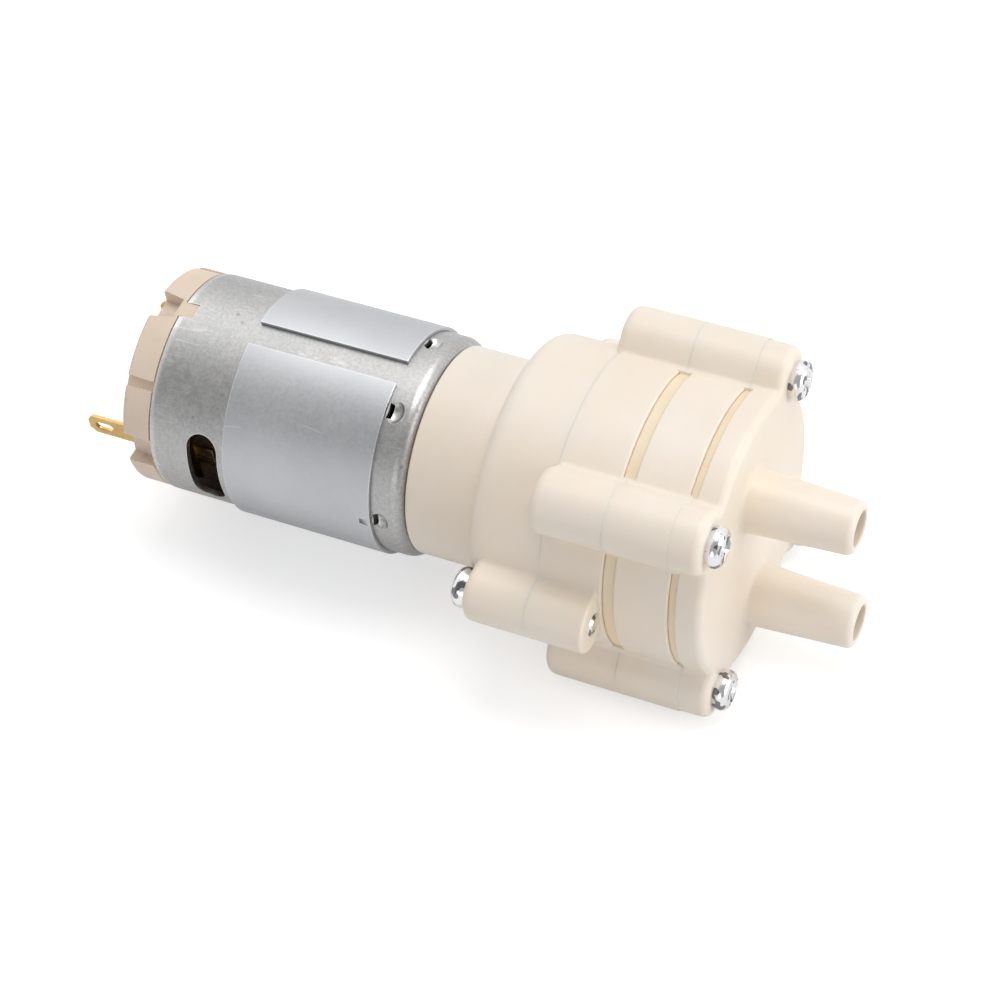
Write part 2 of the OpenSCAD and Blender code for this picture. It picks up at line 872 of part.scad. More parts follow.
module rear_housing() {
    flare_back = can_front + neck_len;
    shoulder = 2;
    shoulder_deg = 53;
    shoulder_x = flare_back + 4.5;
    cone_back = flare_back + 2.4;
    cone_front = shoulder_x + 1.4;
    head_room = screw_head_h + 1;
    color(cream)
        difference() {
            union() {
                turned(concat(
                    [[boss_r + boss_gap, can_front], [neck_r, can_front], [neck_r, flare_back]],
                    arc(head_r - shoulder, shoulder_x, shoulder, -shoulder_deg, 0),
                    [[head_r, rear_front], [rear_in_r, rear_front], [rear_in_r, cone_front]],
                    [[neck_in_r, cone_back], [neck_in_r, can_front + web_t]],
                    [[boss_r + boss_gap, can_front + web_t]]
                ));
                for (angle = rear_angles)
                    lug(rear_lug_back, rear_front, rear_screw_r, angle, back_round = lug_round);
            }
            // room for the rear screws' heads on the shoulder
            screw_holes(rear_lug_back - head_room, rear_lug_back, rear_screw_r, rear_angles,
                screw_head_d / 2 + free_gap);
            screw_holes(rear_lug_back - cut, rear_front + cut, rear_screw_r, rear_angles, screw_r + screw_gap);
            motor_pose()
                screw_holes(can_front - cut, can_front + web_t + cut, motor_screw_y, rear_angles,
                    motor_screw_r + screw_gap);
        }
}

module cup_housing() {
    spigot_r = rear_in_r - 2 * seat_gap;
    spigot_t = 0.8;
    spigot_len = 1;
    tip_room = 0.5;
    nose_room = 0.8;
    color(cream)
        difference() {
            union() {
                tube(rear_front, mid_front, head_r);
                tube(rear_front - spigot_len, rear_front + cut, spigot_r, spigot_r - spigot_t);
                for (angle = rear_angles)
                    lug(rear_front, rear_lug_front, rear_screw_r, angle);
                for (angle = front_angles)
                    lug(rear_front, lug_split_1, front_screw_r, angle, back_round = lug_round);
            }
            rubber_room(mid_front, lug_split_1 + cut);
            for (angle = cup_angles)
                prism(rear_front - cut, mid_front + cut)
                    translate(polar(cup_r, angle))
                        circle(cup_bore_r, $fn = round_fn);
            screw_holes(rear_front - cut, mid_front + cut, rear_screw_r, rear_angles, screw_r + seat_gap);
            screw_holes(cover_front - front_screw_len - tip_room, lug_split_1 + cut, front_screw_r, front_angles,
                screw_r + seat_gap);
            // shallow dish over the wobble plate's nose
            tube(rear_front - cut, rear_front + nose_room, sleeve_r);
        }
}

// One rubber cup: its mouth is in the clamped rim and its floor is pushed by the wobble plate
module cup(angle) {
    at = polar(cup_r, angle);
    travel = at[1] * sin(pin_tilt);
    floor_room = 1.5;
    floor_back = rear_front + floor_room + travel;
    floor_t = 1.5;
    floor_front = floor_back + floor_t;
    cup_in_r = cup_out_r - cup_wall;
    roll = 1.2;
    roll_in = 0.8;
    translate([0, at[0], at[1]])
        turned(concat(
            [[0, floor_back]],
            arc(cup_out_r - roll, floor_back + roll, roll, -90, 0),
            [[cup_out_r, mid_front + flange_t / 2], [cup_in_r, mid_front + flange_t / 2]],
            [[cup_in_r, floor_front + roll_in], [cup_in_r - roll_in, floor_front], [0, floor_front]]
        ));
}

// The stem under a cup: a shoulder in front of the wobble plate's arm, a neck and a bulb behind it
module cup_stem(angle) {
    at = polar(cup_r, angle);
    half_t = arm_t / 2;
    bulb_len = 1.8;
    bulb_out = 0.7;
    bulb_rim = 0.5;
    shoulder_out = 0.8;
    seat = 0.1;
    floor_bite = 2;
    back = -half_t - seat;
    reach = rear_front + floor_bite - pivot_x;
    pin_pose()
        translate([0, at[0], at[1]]) {
            turned([
                [0, back - bulb_len], [stem_r * 0.7, back - bulb_len], [stem_r + bulb_out, back - bulb_rim],
                [stem_r + bulb_out, back], [stem_r, back], [stem_r, half_t + seat],
                [stem_r + shoulder_out, half_t + seat], [stem_r + shoulder_out, reach], [0, reach]
            ]);
        }
}

module diaphragm() {
    color(rubber_yellow)
        union() {
            prism(mid_front, flange_front)
                difference() {
                    circle(groove_r, $fn = round_fn);
                    for (angle = cup_angles)
                        translate(polar(cup_r, angle))
                            circle(cup_out_r - cup_wall, $fn = round_fn);
                }
            for (angle = cup_angles) {
                cup(angle);
                cup_stem(angle);
            }
        }
}

module valve_plate() {
    bulb_room = 1.2;
    color(cream)
        difference() {
            union() {
                tube(flange_front, plate_front, head_r);
                for (angle = front_angles)
                    lug(lug_split_1, lug_split_2, front_screw_r, angle);
            }
            rubber_room(lug_split_1 - cut, flange_front);
            rubber_room(plate_front, lug_split_2 + cut);
            for (angle = cup_angles)
                prism(flange_front - cut, flange_front + chamber_depth)
                    translate(polar(cup_r, angle))
                        circle(chamber_r, $fn = round_fn);
            prism(gallery_back, plate_front + cut)
                rooms();
            for (angle = cup_angles) {
                prism(flange_front, plate_front)
                    translate(polar(port_at, angle))
                        circle(port_r, $fn = small_fn);
                prism(flange_front, plate_front)
                    translate(polar(inlet_at, angle))
                        inlet_hole_shape();
            }
            tube(flange_front - cut, plate_front, valve_stem_r + seat_gap);
            tube(flange_front - cut, flange_front + chamber_depth, valve_stem_r + bulb_room);
            screw_holes(lug_split_1 - cut, lug_split_2 + cut, front_screw_r, front_angles, screw_r + screw_gap);
        }
}

// Four flow holes round the stem hole of an inlet valve
module inlet_hole_shape() {
    circle(valve_stem_r + seat_gap, $fn = small_fn);
    for (turn = [0, 90, 180, 270])
        rotate(turn)
            translate([inlet_hole_at, 0])
                circle(inlet_hole_r, $fn = small_fn);
}

// A rubber umbrella valve: its disc lies on Z = 0 and its stem points to -Z through a web
module umbrella(disc_r, web) {
    bulb_r = valve_stem_r + 0.4;
    lift = 0.01;
    bulb_front = -web - 0.05;
    bulb_rim = -web - 0.5;
    tail = -web - 1.3;
    rotate_extrude($fn = small_fn)
        polygon([
            [0, tail], [valve_stem_r * 0.5, tail], [bulb_r, bulb_rim], [bulb_r, bulb_front],
            [valve_stem_r, bulb_front], [valve_stem_r, lift], [disc_r, lift], [disc_r, valve_t * 0.6],
            [valve_stem_r, valve_t], [0, valve_t]
        ]);
}

module inlet_valves() {
    color(rubber_yellow)
        for (angle = cup_angles)
            across(flange_front + chamber_depth)
                translate(polar(inlet_at, angle))
                    mirror([0, 0, 1])
                        umbrella(inlet_valve_d / 2, valve_web);
}

module outlet_valve() {
    color(rubber_yellow)
        across(gallery_back)
            umbrella(outlet_valve_r, valve_web);
}

module cover_seal() {
    color(rubber_yellow)
        prism(plate_front, seal_front) {
            difference() {
                circle(groove_r, $fn = round_fn);
                circle(gallery_r, $fn = round_fn);
            }
            room_wall();
        }
}

module front_cover() {
    color(cream)
        difference() {
            union() {
                turned(concat(
                    [[0, seal_front], [head_r, seal_front]],
                    arc(head_r - edge_round, cover_front - edge_round, edge_round, 0, 90),
                    [[0, cover_front]]
                ));
                for (angle = front_angles)
                    lug(lug_split_2, cover_front, front_screw_r, angle, front_round = edge_round);
                for (at = [outlet_at, inlet_nozzle_at])
                    translate([0, at[0], at[1]])
                        nozzle();
            }
            rubber_room(lug_split_2 - cut, seal_front);
            prism(seal_front - cut, seal_front + cover_room)
                rooms();
            for (at = [outlet_at, inlet_nozzle_at])
                prism(seal_front + cover_room - 0.1, nozzle_tip + cut)
                    translate(at)
                        circle(bore_r, $fn = small_fn);
            screw_holes(lug_split_2 - cut, cover_front + cut, front_screw_r, front_angles, screw_r + screw_gap);
        }
}

// A tapered hose nozzle with a rounded tip and a small fillet at its foot
module nozzle() {
    foot_r = nozzle_foot_d / 2;
    tip_r = nozzle_tip_d / 2;
    tip_round = 0.9;
    fillet = 0.7;
    root = 1;
    turned(concat(
        [[0, cover_front - root], [foot_r + fillet, cover_front - root]],
        arc(foot_r + fillet, cover_front + fillet, fillet, 270, 180),
        arc(tip_r - tip_round, nozzle_tip - tip_round, tip_round, 0, 90),
        [[0, nozzle_tip]]
    ));
}

module front_screws() {
    color(zinc)
        for (angle = front_angles)
            across(cover_front)
                translate(polar(front_screw_r, angle))
                    pan_screw(screw_r, front_screw_len, screw_head_d / 2, screw_head_h);
}

module rear_screws() {
    color(zinc)
        for (angle = rear_angles)
            across(rear_lug_back)
                translate(polar(rear_screw_r, angle))
                    mirror([0, 0, 1])
                        pan_screw(screw_r, rear_screw_len, screw_head_d / 2, screw_head_h);
}

motor_can();
flux_ring();
magnets();
magnet_springs();
end_bell();
terminals();
brush_arms();
brushes();
rear_bush();
front_bush();
motor_screws();
motor_shaft();
armature_core();
windings();
commutator();
shaft_spacers();
drive_hub();
drive_pin();
wobble_plate();
rear_housing();
cup_housing();
diaphragm();
valve_plate();
inlet_valves();
outlet_valve();
cover_seal();
front_cover();
front_screws();
rear_screws();
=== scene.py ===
import json
import math

import bmesh
import bpy
from mathutils import Matrix, Vector


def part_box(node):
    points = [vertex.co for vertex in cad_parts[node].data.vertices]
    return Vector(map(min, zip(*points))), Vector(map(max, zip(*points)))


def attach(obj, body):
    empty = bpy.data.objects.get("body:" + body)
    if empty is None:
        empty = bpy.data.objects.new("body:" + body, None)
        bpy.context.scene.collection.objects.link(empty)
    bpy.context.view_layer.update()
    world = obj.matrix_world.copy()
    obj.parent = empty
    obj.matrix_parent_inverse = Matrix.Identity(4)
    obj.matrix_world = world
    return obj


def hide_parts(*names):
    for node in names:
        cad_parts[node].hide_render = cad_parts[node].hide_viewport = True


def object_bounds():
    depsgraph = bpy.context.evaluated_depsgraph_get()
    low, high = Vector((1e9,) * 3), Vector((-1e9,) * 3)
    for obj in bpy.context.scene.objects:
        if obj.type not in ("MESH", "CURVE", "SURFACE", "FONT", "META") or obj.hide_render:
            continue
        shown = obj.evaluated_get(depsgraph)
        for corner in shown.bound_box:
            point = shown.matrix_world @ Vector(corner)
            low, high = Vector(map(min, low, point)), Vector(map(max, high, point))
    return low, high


# The pump's looks are built round its packed construction, in metres.
# X runs along the shaft from the motor to the nozzles, and Z points up.

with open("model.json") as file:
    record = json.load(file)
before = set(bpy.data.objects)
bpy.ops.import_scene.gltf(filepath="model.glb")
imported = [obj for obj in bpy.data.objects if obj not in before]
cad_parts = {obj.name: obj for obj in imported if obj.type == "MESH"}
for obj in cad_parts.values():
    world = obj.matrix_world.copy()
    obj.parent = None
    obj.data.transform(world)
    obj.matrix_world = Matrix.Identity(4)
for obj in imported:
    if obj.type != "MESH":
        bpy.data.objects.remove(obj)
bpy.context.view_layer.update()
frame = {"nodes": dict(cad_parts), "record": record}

MM = 0.001
PUMP = "pump_body"
SMOOTH_ANGLE, FLAT_ANGLE = math.radians(32), math.radians(0.3)
SAME_PLACE, SLIT = 2e-7, 0.002 * MM

scene = bpy.context.scene
scene.view_settings.view_transform = "Standard"


# Measures in millimetres, from the construction

def station(node, end):
    """The x of a node's back or front end"""
    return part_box(node)[end].x / MM


BACK, FRONT = 0, 1
CAN_BACK = station("motor_can", BACK)
CAN_LEN, CAN_R, CAN_WALL, CAN_ROUND = 34.3, 13.85, 0.8, 1.6
CAN_FRONT = CAN_BACK + CAN_LEN
RING_BACK, RING_FRONT = station("flux_ring", BACK), station("flux_ring", FRONT)
RING_R = 14.37
BELL_BACK, SPIGOT_LEN = station("end_bell", BACK), 3.0
SHAFT_R = 1.15
MOTOR_TURN = 3.0
KEY_ANGLES, KEY_W, KEY_LEN = (90, 270), 2.3, 1.9
DENT_ANGLES = (67, 114, 174.5, 6, 294, 246)
HEAD_R = 17.5
GROOVE_R = 17.15
LUG_R, REAR_LUG_R, COVER_LUG_R = 4.0, 3.6, 3.85
FOOT_FILLET = 0.8
FOOT_IN_R, OVERHANG_IN_R = 13.6, 15.9
LUG_ROUND = 1.3
EDGE_ROUND = 1.1
SEAM = 0.035
CORNER = 0.25
FRONT_REACH, REAR_REACH = 18.9, 19.0
FRONT_ANGLES = (45, 135, 225, 315)
REAR_ANGLES = (0, 180)
REAR_FRONT = station("rear_housing", FRONT)
REAR_LUG_BACK = REAR_FRONT - 8.1
FRONT_LUG_BACK = REAR_FRONT - 0.7
MID_FRONT = REAR_FRONT + 7.8
PLATE_BACK = MID_FRONT + 1.5
PLATE_FRONT = PLATE_BACK + 6.7
COVER_BACK = PLATE_FRONT + 0.9
COVER_FRONT = COVER_BACK + 3.4
NOZZLE_TIP = station("front_cover", FRONT)
SPLIT_1 = (MID_FRONT + PLATE_BACK) / 2
SPLIT_2 = (PLATE_FRONT + COVER_BACK) / 2
CUP_ANGLES, CUP_REACH, CUP_R = (-90, 30, 150), 8.6, 5.1
PIVOT_X, PIN_TILT = 29.7, 9.0
STEM_R, ARM_HALF = 1.5, 1.1
NOZZLES = ((-1.0, 7.6), (-1.0, -9.9))
NOZZLE_FOOT_R, NOZZLE_TIP_R, NOZZLE_BORE_R = 3.9, 3.35, 2.2
SCREW_R, SCREW_HEAD_R, SCREW_HEAD_H = 1.3, 2.5, 1.8

# Points round a large piece, a radius outside the can, and the distance that a cut runs past a face
ROUND_STEPS, OUTSIDE_R, PAST = 192, 15, 1


# Mesh helpers

def link(obj):
    scene.collection.objects.link(obj)
    return obj


def make_piece(name, mesh):
    """An object at the origin that shows a mesh, whose place is in its points"""
    mesh.name = name
    return link(bpy.data.objects.new(name, mesh))


def merged_copy(node):
    """A copy of a construction node's mesh, its loose triangles joined and its flat faces made whole"""
    mesh = frame["nodes"][node].data.copy()
    mesh.materials.clear()
    shape = bmesh.new()
    shape.from_mesh(mesh)
    bmesh.ops.remove_doubles(shape, verts=shape.verts, dist=SAME_PLACE)
    bmesh.ops.dissolve_limit(shape, angle_limit=FLAT_ANGLE, verts=shape.verts, edges=shape.edges)
    shape.to_mesh(mesh)
    shape.free()
    if "custom_normal" in mesh.attributes:
        mesh.attributes.remove(mesh.attributes["custom_normal"])
    return mesh


def with_modifiers_applied(obj):
    """Turns an object's modifiers into plain mesh"""
    bpy.context.view_layer.update()
    evaluated = obj.evaluated_get(bpy.context.evaluated_depsgraph_get())
    mesh = bpy.data.meshes.new_from_object(evaluated)
    mesh.name = obj.name
    old = obj.data
    obj.modifiers.clear()
    obj.data = mesh
    bpy.data.meshes.remove(old)
    return obj


def smoothed(obj):
    """Smooth shading with the sharp edges kept, and flat faces that stay flat"""
    obj.data.shade_smooth()
    obj.data.set_sharp_from_angle(angle=SMOOTH_ANGLE)
    weighted = obj.modifiers.new("Weighted", "WEIGHTED_NORMAL")
    weighted.keep_sharp = True
    weighted.weight = 100
    return with_modifiers_applied(obj)


def edges_eased(obj, width, clamp=True):
    """Rounds the sharp edges of a piece"""
    bevel = obj.modifiers.new("Rounded edges", "BEVEL")
    bevel.width = width * MM
    bevel.segments = 2
    bevel.limit_method = "ANGLE"
    bevel.angle_limit = SMOOTH_ANGLE
    bevel.use_clamp_overlap = clamp
    bevel.miter_outer = "MITER_ARC"
    return with_modifiers_applied(obj)


def softened(node, name, width):
    """A construction node's shape with its edges rounded"""
    return smoothed(edges_eased(make_piece(name, merged_copy(node)), width, clamp=False))


def finished_mesh(piece, facing):
    """Takes the mesh of a piece that is only copied; facing is -1 where it points to the back"""
    if facing < 0:
        piece.data.transform(Matrix.Rotation(math.pi, 4, "Z"))
    mesh = smoothed(piece).data.copy()
    bpy.data.objects.remove(piece)
    return mesh


def dress(obj, material):
    obj.data.materials.clear()
    obj.data.materials.append(material)
    return obj


def fit(obj, node):
    """A finished piece rides on the pump's body and stands for its construction node"""
    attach(obj, PUMP)
    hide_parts(node)


# Node helpers

def add(tree, kind, values=None, **settings):
    """Adds a node, with values for its inputs: numbers, or the sockets that feed them"""
    node = tree.nodes.new(kind)
    for key, value in settings.items():
        setattr(node, key, value)
    for key, value in (values or {}).items():
        if isinstance(value, bpy.types.NodeSocket):
            tree.links.new(value, node.inputs[key])
        else:
            node.inputs[key].default_value = value
    return node


def calc(tree, operation, *values):
    return add(tree, "ShaderNodeMath", dict(enumerate(values)), operation=operation).outputs[0]


def times(tree, first, second):
    return calc(tree, "MULTIPLY", first, second)


def ramp(tree, value, low, high, to_low=0.0, to_high=1.0):
    values = {"Value": value, "From Min": low, "From Max": high, "To Min": to_low, "To Max": to_high}
    return add(tree, "ShaderNodeMapRange", values, interpolation_type="SMOOTHSTEP").outputs["Result"]


def mix(tree, share, first, second):
    return add(tree, "ShaderNodeMix", {0: share, 6: first, 7: second}, data_type="RGBA").outputs[2]


def noise_value(tree, place, scale, detail=3.0):
    values = {"Vector": place, "Scale": scale, "Detail": detail}
    return add(tree, "ShaderNodeTexNoise", values).outputs["Fac"]


def new_group(name, inputs, outputs, kind="ShaderNodeTree"):
    """A node group: name, type and value of each input, name and type of each output"""
    group = bpy.data.node_groups.new(name, kind)
    for label, socket_type, value in inputs:
        socket = group.interface.new_socket(label, in_out="INPUT", socket_type=socket_type)
        if value is not None:
            socket.default_value = value
    for label, socket_type in outputs:
        group.interface.new_socket(label, in_out="OUTPUT", socket_type=socket_type)
    return group, group.nodes.new("NodeGroupInput").outputs, group.nodes.new("NodeGroupOutput").inputs


def spaced(values):
    """Values under the names of sockets, where underscores stood for spaces"""
    return {key.replace("_", " "): value for key, value in values.items()}


def place_group(tree, group, **values):
    """Places a shared effect in a material"""
    return add(tree, "ShaderNodeGroup", spaced(values), node_tree=group).outputs


# Shared effects

FLOAT, COLOUR, VECTOR = "NodeSocketFloat", "NodeSocketColor", "NodeSocketVector"
MASK = ("Mask", FLOAT)

# The range that most of a noise lies in
NOISE_LOW, NOISE_HIGH = 0.3, 0.7


def clouding_effect():
    """Soft patches of a second colour"""
    group, given, out = new_group("clouding", [
        ("Place", VECTOR, None), ("Colour", COLOUR, None), ("Patch Colour", COLOUR, None),
        ("Scale", FLOAT, 100.0), ("Amount", FLOAT, 0.5), ("Softness", FLOAT, 0.2),
    ], [("Colour", COLOUR), MASK])
    noise = noise_value(group, given["Place"], given["Scale"], 4.0)
    low = calc(group, "SUBTRACT", 0.5, given["Softness"])
    high = calc(group, "ADD", 0.5, given["Softness"])
    mask = times(group, ramp(group, noise, low, high), given["Amount"])
    group.links.new(mix(group, mask, given["Colour"], given["Patch Colour"]), out["Colour"])
    group.links.new(mask, out["Mask"])
    return group


def scratch_effect():
    """Sparse hair lines, long along X"""
    group, given, out = new_group("hair_lines", [
        ("Place", VECTOR, None), ("Scale", FLOAT, 100.0), ("Width", FLOAT, 0.02), ("Sparseness", FLOAT, 0.55),
    ], [MASK])
    values = {0: given["Place"], 1: (0.12, 1.0, 1.0)}
    stretched = add(group, "ShaderNodeVectorMath", values, operation="MULTIPLY").outputs[0]
    lines = noise_value(group, stretched, given["Scale"], 1.0)
    from_middle = calc(group, "ABSOLUTE", calc(group, "SUBTRACT", lines, 0.5))
    thin = calc(group, "SUBTRACT", 1.0, ramp(group, from_middle, 0.0, given["Width"]))
    patch = noise_value(group, given["Place"], times(group, given["Scale"], 0.6), 2.0)
    high = calc(group, "ADD", given["Sparseness"], 0.06)
    present = ramp(group, patch, given["Sparseness"], high)
    group.links.new(times(group, thin, present), out["Mask"])
    return group


def speck_effect():
    """Small round specks, here and there"""
    group, given, out = new_group("specks", [
        ("Place", VECTOR, None), ("Scale", FLOAT, 500.0), ("Size", FLOAT, 0.15), ("Share", FLOAT, 0.1),
    ], [MASK])
    cells = add(group, "ShaderNodeTexVoronoi", {"Vector": given["Place"], "Scale": given["Scale"]})
    core = times(group, given["Size"], 0.5)
    dot = calc(group, "SUBTRACT", 1.0, ramp(group, cells.outputs["Distance"], core, given["Size"]))
    pick = add(group, "ShaderNodeSeparateColor", {"Color": cells.outputs["Color"]}).outputs[0]
    chosen = calc(group, "LESS_THAN", pick, given["Share"])
    group.links.new(times(group, dot, chosen), out["Mask"])
    return group


def edge_effect():
    """A mask that is 1 on an edge and fades within its width"""
    group, given, out = new_group("wear_and_highlight_edge", [("Width", FLOAT, 0.0004)], [MASK])
    rounded = add(group, "ShaderNodeBevel", {"Radius": given["Width"]}, samples=4).outputs["Normal"]
    plain = add(group, "ShaderNodeNewGeometry").outputs["Normal"]
    values = {0: rounded, 1: plain}
    match = add(group, "ShaderNodeVectorMath", values, operation="DOT_PRODUCT").outputs["Value"]
    group.links.new(ramp(group, match, 0.995, 0.9), out["Mask"])
    return group


clouding = clouding_effect()
hair_lines = scratch_effect()
specks = speck_effect()
# An edge mask: edge wear, and on the can's edges a painted highlight
wear_and_highlight_edge = edge_effect()


def clouded(tree, place, colour, patch_colour, scale, amount, softness=0.2):
    """A colour with soft patches of a second one"""
    return place_group(
        tree, clouding, Place=place, Colour=colour, Patch_Colour=patch_colour,
        Scale=scale, Amount=amount, Softness=softness)


def scratches(tree, place, scale, width, sparseness):
    values = {"Scale": scale, "Width": width, "Sparseness": sparseness}
    return place_group(tree, hair_lines, Place=place, **values)["Mask"]


# Finishes

def start_finish(name, **settings):
    """A material with its shader and the place on the piece; constants are set on the shader itself"""
    material = bpy.data.materials.new(name)
    material.use_nodes = True
    tree = material.node_tree
    tree.nodes.clear()
    shader = add(tree, "ShaderNodeBsdfPrincipled", spaced(settings))
    add(tree, "ShaderNodeOutputMaterial", {"Surface": shader.outputs["BSDF"]})
    place = add(tree, "ShaderNodeTexCoord").outputs["Object"]
    return material, tree, shader, place


def feed(tree, shader, name, value):
    tree.links.new(value, shader.inputs[name])


def set_bump(tree, shader, height, strength, distance):
    values = {"Height": height, "Strength": strength, "Distance": distance}
    feed(tree, shader, "Normal", add(tree, "ShaderNodeBump", values).outputs["Normal"])


def grained(tree, shader, place, scale, low, high, strength, distance):
    """Fine grain that varies the roughness from low to high and lifts the surface"""
    fine = noise_value(tree, place, scale)
    feed(tree, shader, "Roughness", ramp(tree, fine, NOISE_LOW, NOISE_HIGH, low, high))
    set_bump(tree, shader, fine, strength, distance)


def moulded_plastic(name, colour, patch_colour, roughness, see_in):
    """Injection moulded plastic: faint flow patches, fine grain and some light inside"""
    material, tree, shader, place = start_finish(
        name, IOR=1.5, Subsurface_Weight=see_in, Subsurface_Scale=0.0009,
        Subsurface_Radius=(1.0, 0.7, 0.42))
    patches = clouded(tree, place, colour, patch_colour, 60.0, 0.8)
    feed(tree, shader, "Base Color", patches["Colour"])
    grained(tree, shader, place, 2600.0, roughness - 0.04, roughness + 0.04, 0.12, 0.00004)
    return material


def bell_finish():
    """Tan plastic with grey smudges from handling"""
    material, tree, shader, place = start_finish(
        "bell_plastic", IOR=1.5, Subsurface_Weight=0.08, Subsurface_Scale=0.001)
    tan, warm, grey = (0.79, 0.65, 0.525, 1), (0.75, 0.605, 0.47, 1), (0.40, 0.36, 0.33, 1)
    patches = clouded(tree, place, tan, warm, 160.0, 0.8)
    smudge = ramp(tree, noise_value(tree, place, 330.0), 0.60, 0.72)
    feed(tree, shader, "Base Color", mix(tree, times(tree, smudge, 0.28), patches["Colour"], grey))
    grained(tree, shader, place, 1800.0, 0.42, 0.56, 0.3, 0.00005)
    return material


def can_finish():
    """Galvanised sheet: cloudy, with bright glints, lightly scratched and smoother round its rim; its edges
    are lightened as bare metal and as painted highlight, its rim as painted highlight
    """
    material, tree, shader, place = start_finish("can_steel", Metallic=1.0)
    light, dull = (0.49, 0.485, 0.48, 1), (0.455, 0.455, 0.455, 1)
    stain, glint = (0.20, 0.195, 0.19, 1), (0.80, 0.79, 0.77, 1)
    broad = clouded(tree, place, light, dull, 110.0, 0.9)
    fine = clouded(tree, place, broad["Colour"], glint, 2600.0, 0.2, 0.12)
    pits = clouded(tree, place, fine["Colour"], stain, 3800.0, 0.13, 0.08)
    dots = place_group(tree, specks, Place=place, Scale=900.0, Size=0.3, Share=0.05)["Mask"]
    lines = scratches(tree, place, 420.0, 0.012, 0.52)
    edge_wear_and_highlight = place_group(tree, wear_and_highlight_edge, Width=0.00025)["Mask"]
    along = add(tree, "ShaderNodeSeparateXYZ", {0: place}).outputs["X"]
    rim = ramp(tree, along, (CAN_BACK + 1.0) * MM, (CAN_BACK + 0.5) * MM)
    stained = mix(tree, times(tree, dots, 0.5), pits["Colour"], stain)
    scratched = mix(tree, times(tree, lines, 0.35), stained, glint)
    # Edges lightened as bare cut metal and as painted highlight; the back rim lightened as painted highlight
    bright = calc(tree, "MAXIMUM", times(tree, edge_wear_and_highlight, 0.8), times(tree, rim, 0.35))
    feed(tree, shader, "Base Color", mix(tree, bright, scratched, glint))
    cloudy = noise_value(tree, place, 900.0, 6.0)
    rough = ramp(tree, cloudy, NOISE_LOW, NOISE_HIGH, 0.34, 0.44)
    feed(tree, shader, "Roughness", calc(tree, "SUBTRACT", rough, times(tree, rim, 0.12)))
    set_bump(tree, shader, calc(tree, "SUBTRACT", cloudy, times(tree, lines, 0.3)), 0.22, 0.00006)
    return material


def ring_finish():
    """Smooth blue-grey zinc with a few bright scratches"""
    material, tree, shader, place = start_finish("ring_zinc", Metallic=1.0)
    light, dull, bright = (0.58, 0.59, 0.605, 1), (0.52, 0.53, 0.55, 1), (0.88, 0.88, 0.88, 1)
    broad = clouded(tree, place, light, dull, 90.0, 0.7)
    lines = scratches(tree, place, 260.0, 0.01, 0.62)
    edge_wear_and_highlight = place_group(tree, wear_and_highlight_edge, Width=0.0003)["Mask"]
    marks = calc(tree, "MAXIMUM", times(tree, lines, 0.5), times(tree, edge_wear_and_highlight, 0.7))
    feed(tree, shader, "Base Color", mix(tree, marks, broad["Colour"], bright))
    grained(tree, shader, place, 2200.0, 0.40, 0.48, 0.1, 0.00003)
    return material


def bright_zinc_finish():
    """Bright plated screws, with small patches of painted dark reflection"""
    material, tree, shader, place = start_finish("screw_zinc", Metallic=1.0)
    bright, reflection_dark = (0.88, 0.88, 0.90, 1), (0.12, 0.115, 0.12, 1)
    painted_reflection = ramp(tree, noise_value(tree, place, 760.0, 1.0), 0.57, 0.61)
    feed(tree, shader, "Base Color", mix(tree, times(tree, painted_reflection, 0.85), bright, reflection_dark))
    grained(tree, shader, place, 900.0, 0.12, 0.2, 0.2, 0.0001)
    return material


def rubber_finish():
    """Soft yellowish rubber, translucent at its edges, with dust"""
    material, tree, shader, place = start_finish(
        "yellow_rubber", IOR=1.45, Subsurface_Weight=0.2, Subsurface_Scale=0.001)
    yellow, deep, dust = (0.93, 0.79, 0.60, 1), (0.91, 0.73, 0.50, 1), (0.30, 0.25, 0.18, 1)
    patches = clouded(tree, place, yellow, deep, 220.0, 0.7)
    dots = place_group(tree, specks, Place=place, Scale=700.0, Size=0.22, Share=0.06)["Mask"]
    feed(tree, shader, "Base Color", mix(tree, times(tree, dots, 0.7), patches["Colour"], dust))
    grained(tree, shader, place, 1600.0, 0.42, 0.55, 0.15, 0.00005)
    return material


def plain_metal(name, colour, patch_colour, roughness):
    """Turned, stamped or ground metal with fine lines"""
    material, tree, shader, place = start_finish(name, Metallic=1.0)
    patches = clouded(tree, place, colour, patch_colour, 350.0, 0.8)
    lines = scratches(tree, place, 900.0, 0.05, 0.3)
    feed(tree, shader, "Base Color", patches["Colour"])
    feed(tree, shader, "Roughness", ramp(tree, lines, 0.0, 1.0, roughness, roughness + 0.12))
    set_bump(tree, shader, lines, 0.1, 0.00003)
    return material


def sintered(name, colour, patch_colour, roughness, metallic=0.0):
    """Pressed powder: carbon, ferrite or bronze, with a grainy surface"""
    material, tree, shader, place = start_finish(name, Metallic=metallic)
    grain = clouded(tree, place, colour, patch_colour, 2400.0, 1.0)
    feed(tree, shader, "Base Color", grain["Colour"])
    grained(tree, shader, place, 3000.0, roughness - 0.08, roughness + 0.08, 0.4, 0.00005)
    return material


def wire_finish():
    """Dark red enamel over copper wire"""
    material, tree, shader, place = start_finish("coil_copper", Coat_Weight=0.6, Coat_Roughness=0.15)
    patches = clouded(tree, place, (0.30, 0.075, 0.04, 1), (0.16, 0.035, 0.02, 1), 700.0, 0.5)
    feed(tree, shader, "Base Color", patches["Colour"])
    fine = noise_value(tree, place, 2500.0)
    feed(tree, shader, "Roughness", ramp(tree, fine, NOISE_LOW, NOISE_HIGH, 0.25, 0.4))
    feed(tree, shader, "Metallic", ramp(tree, patches["Mask"], 0.0, 1.0, 0.35, 0.6))
    return material


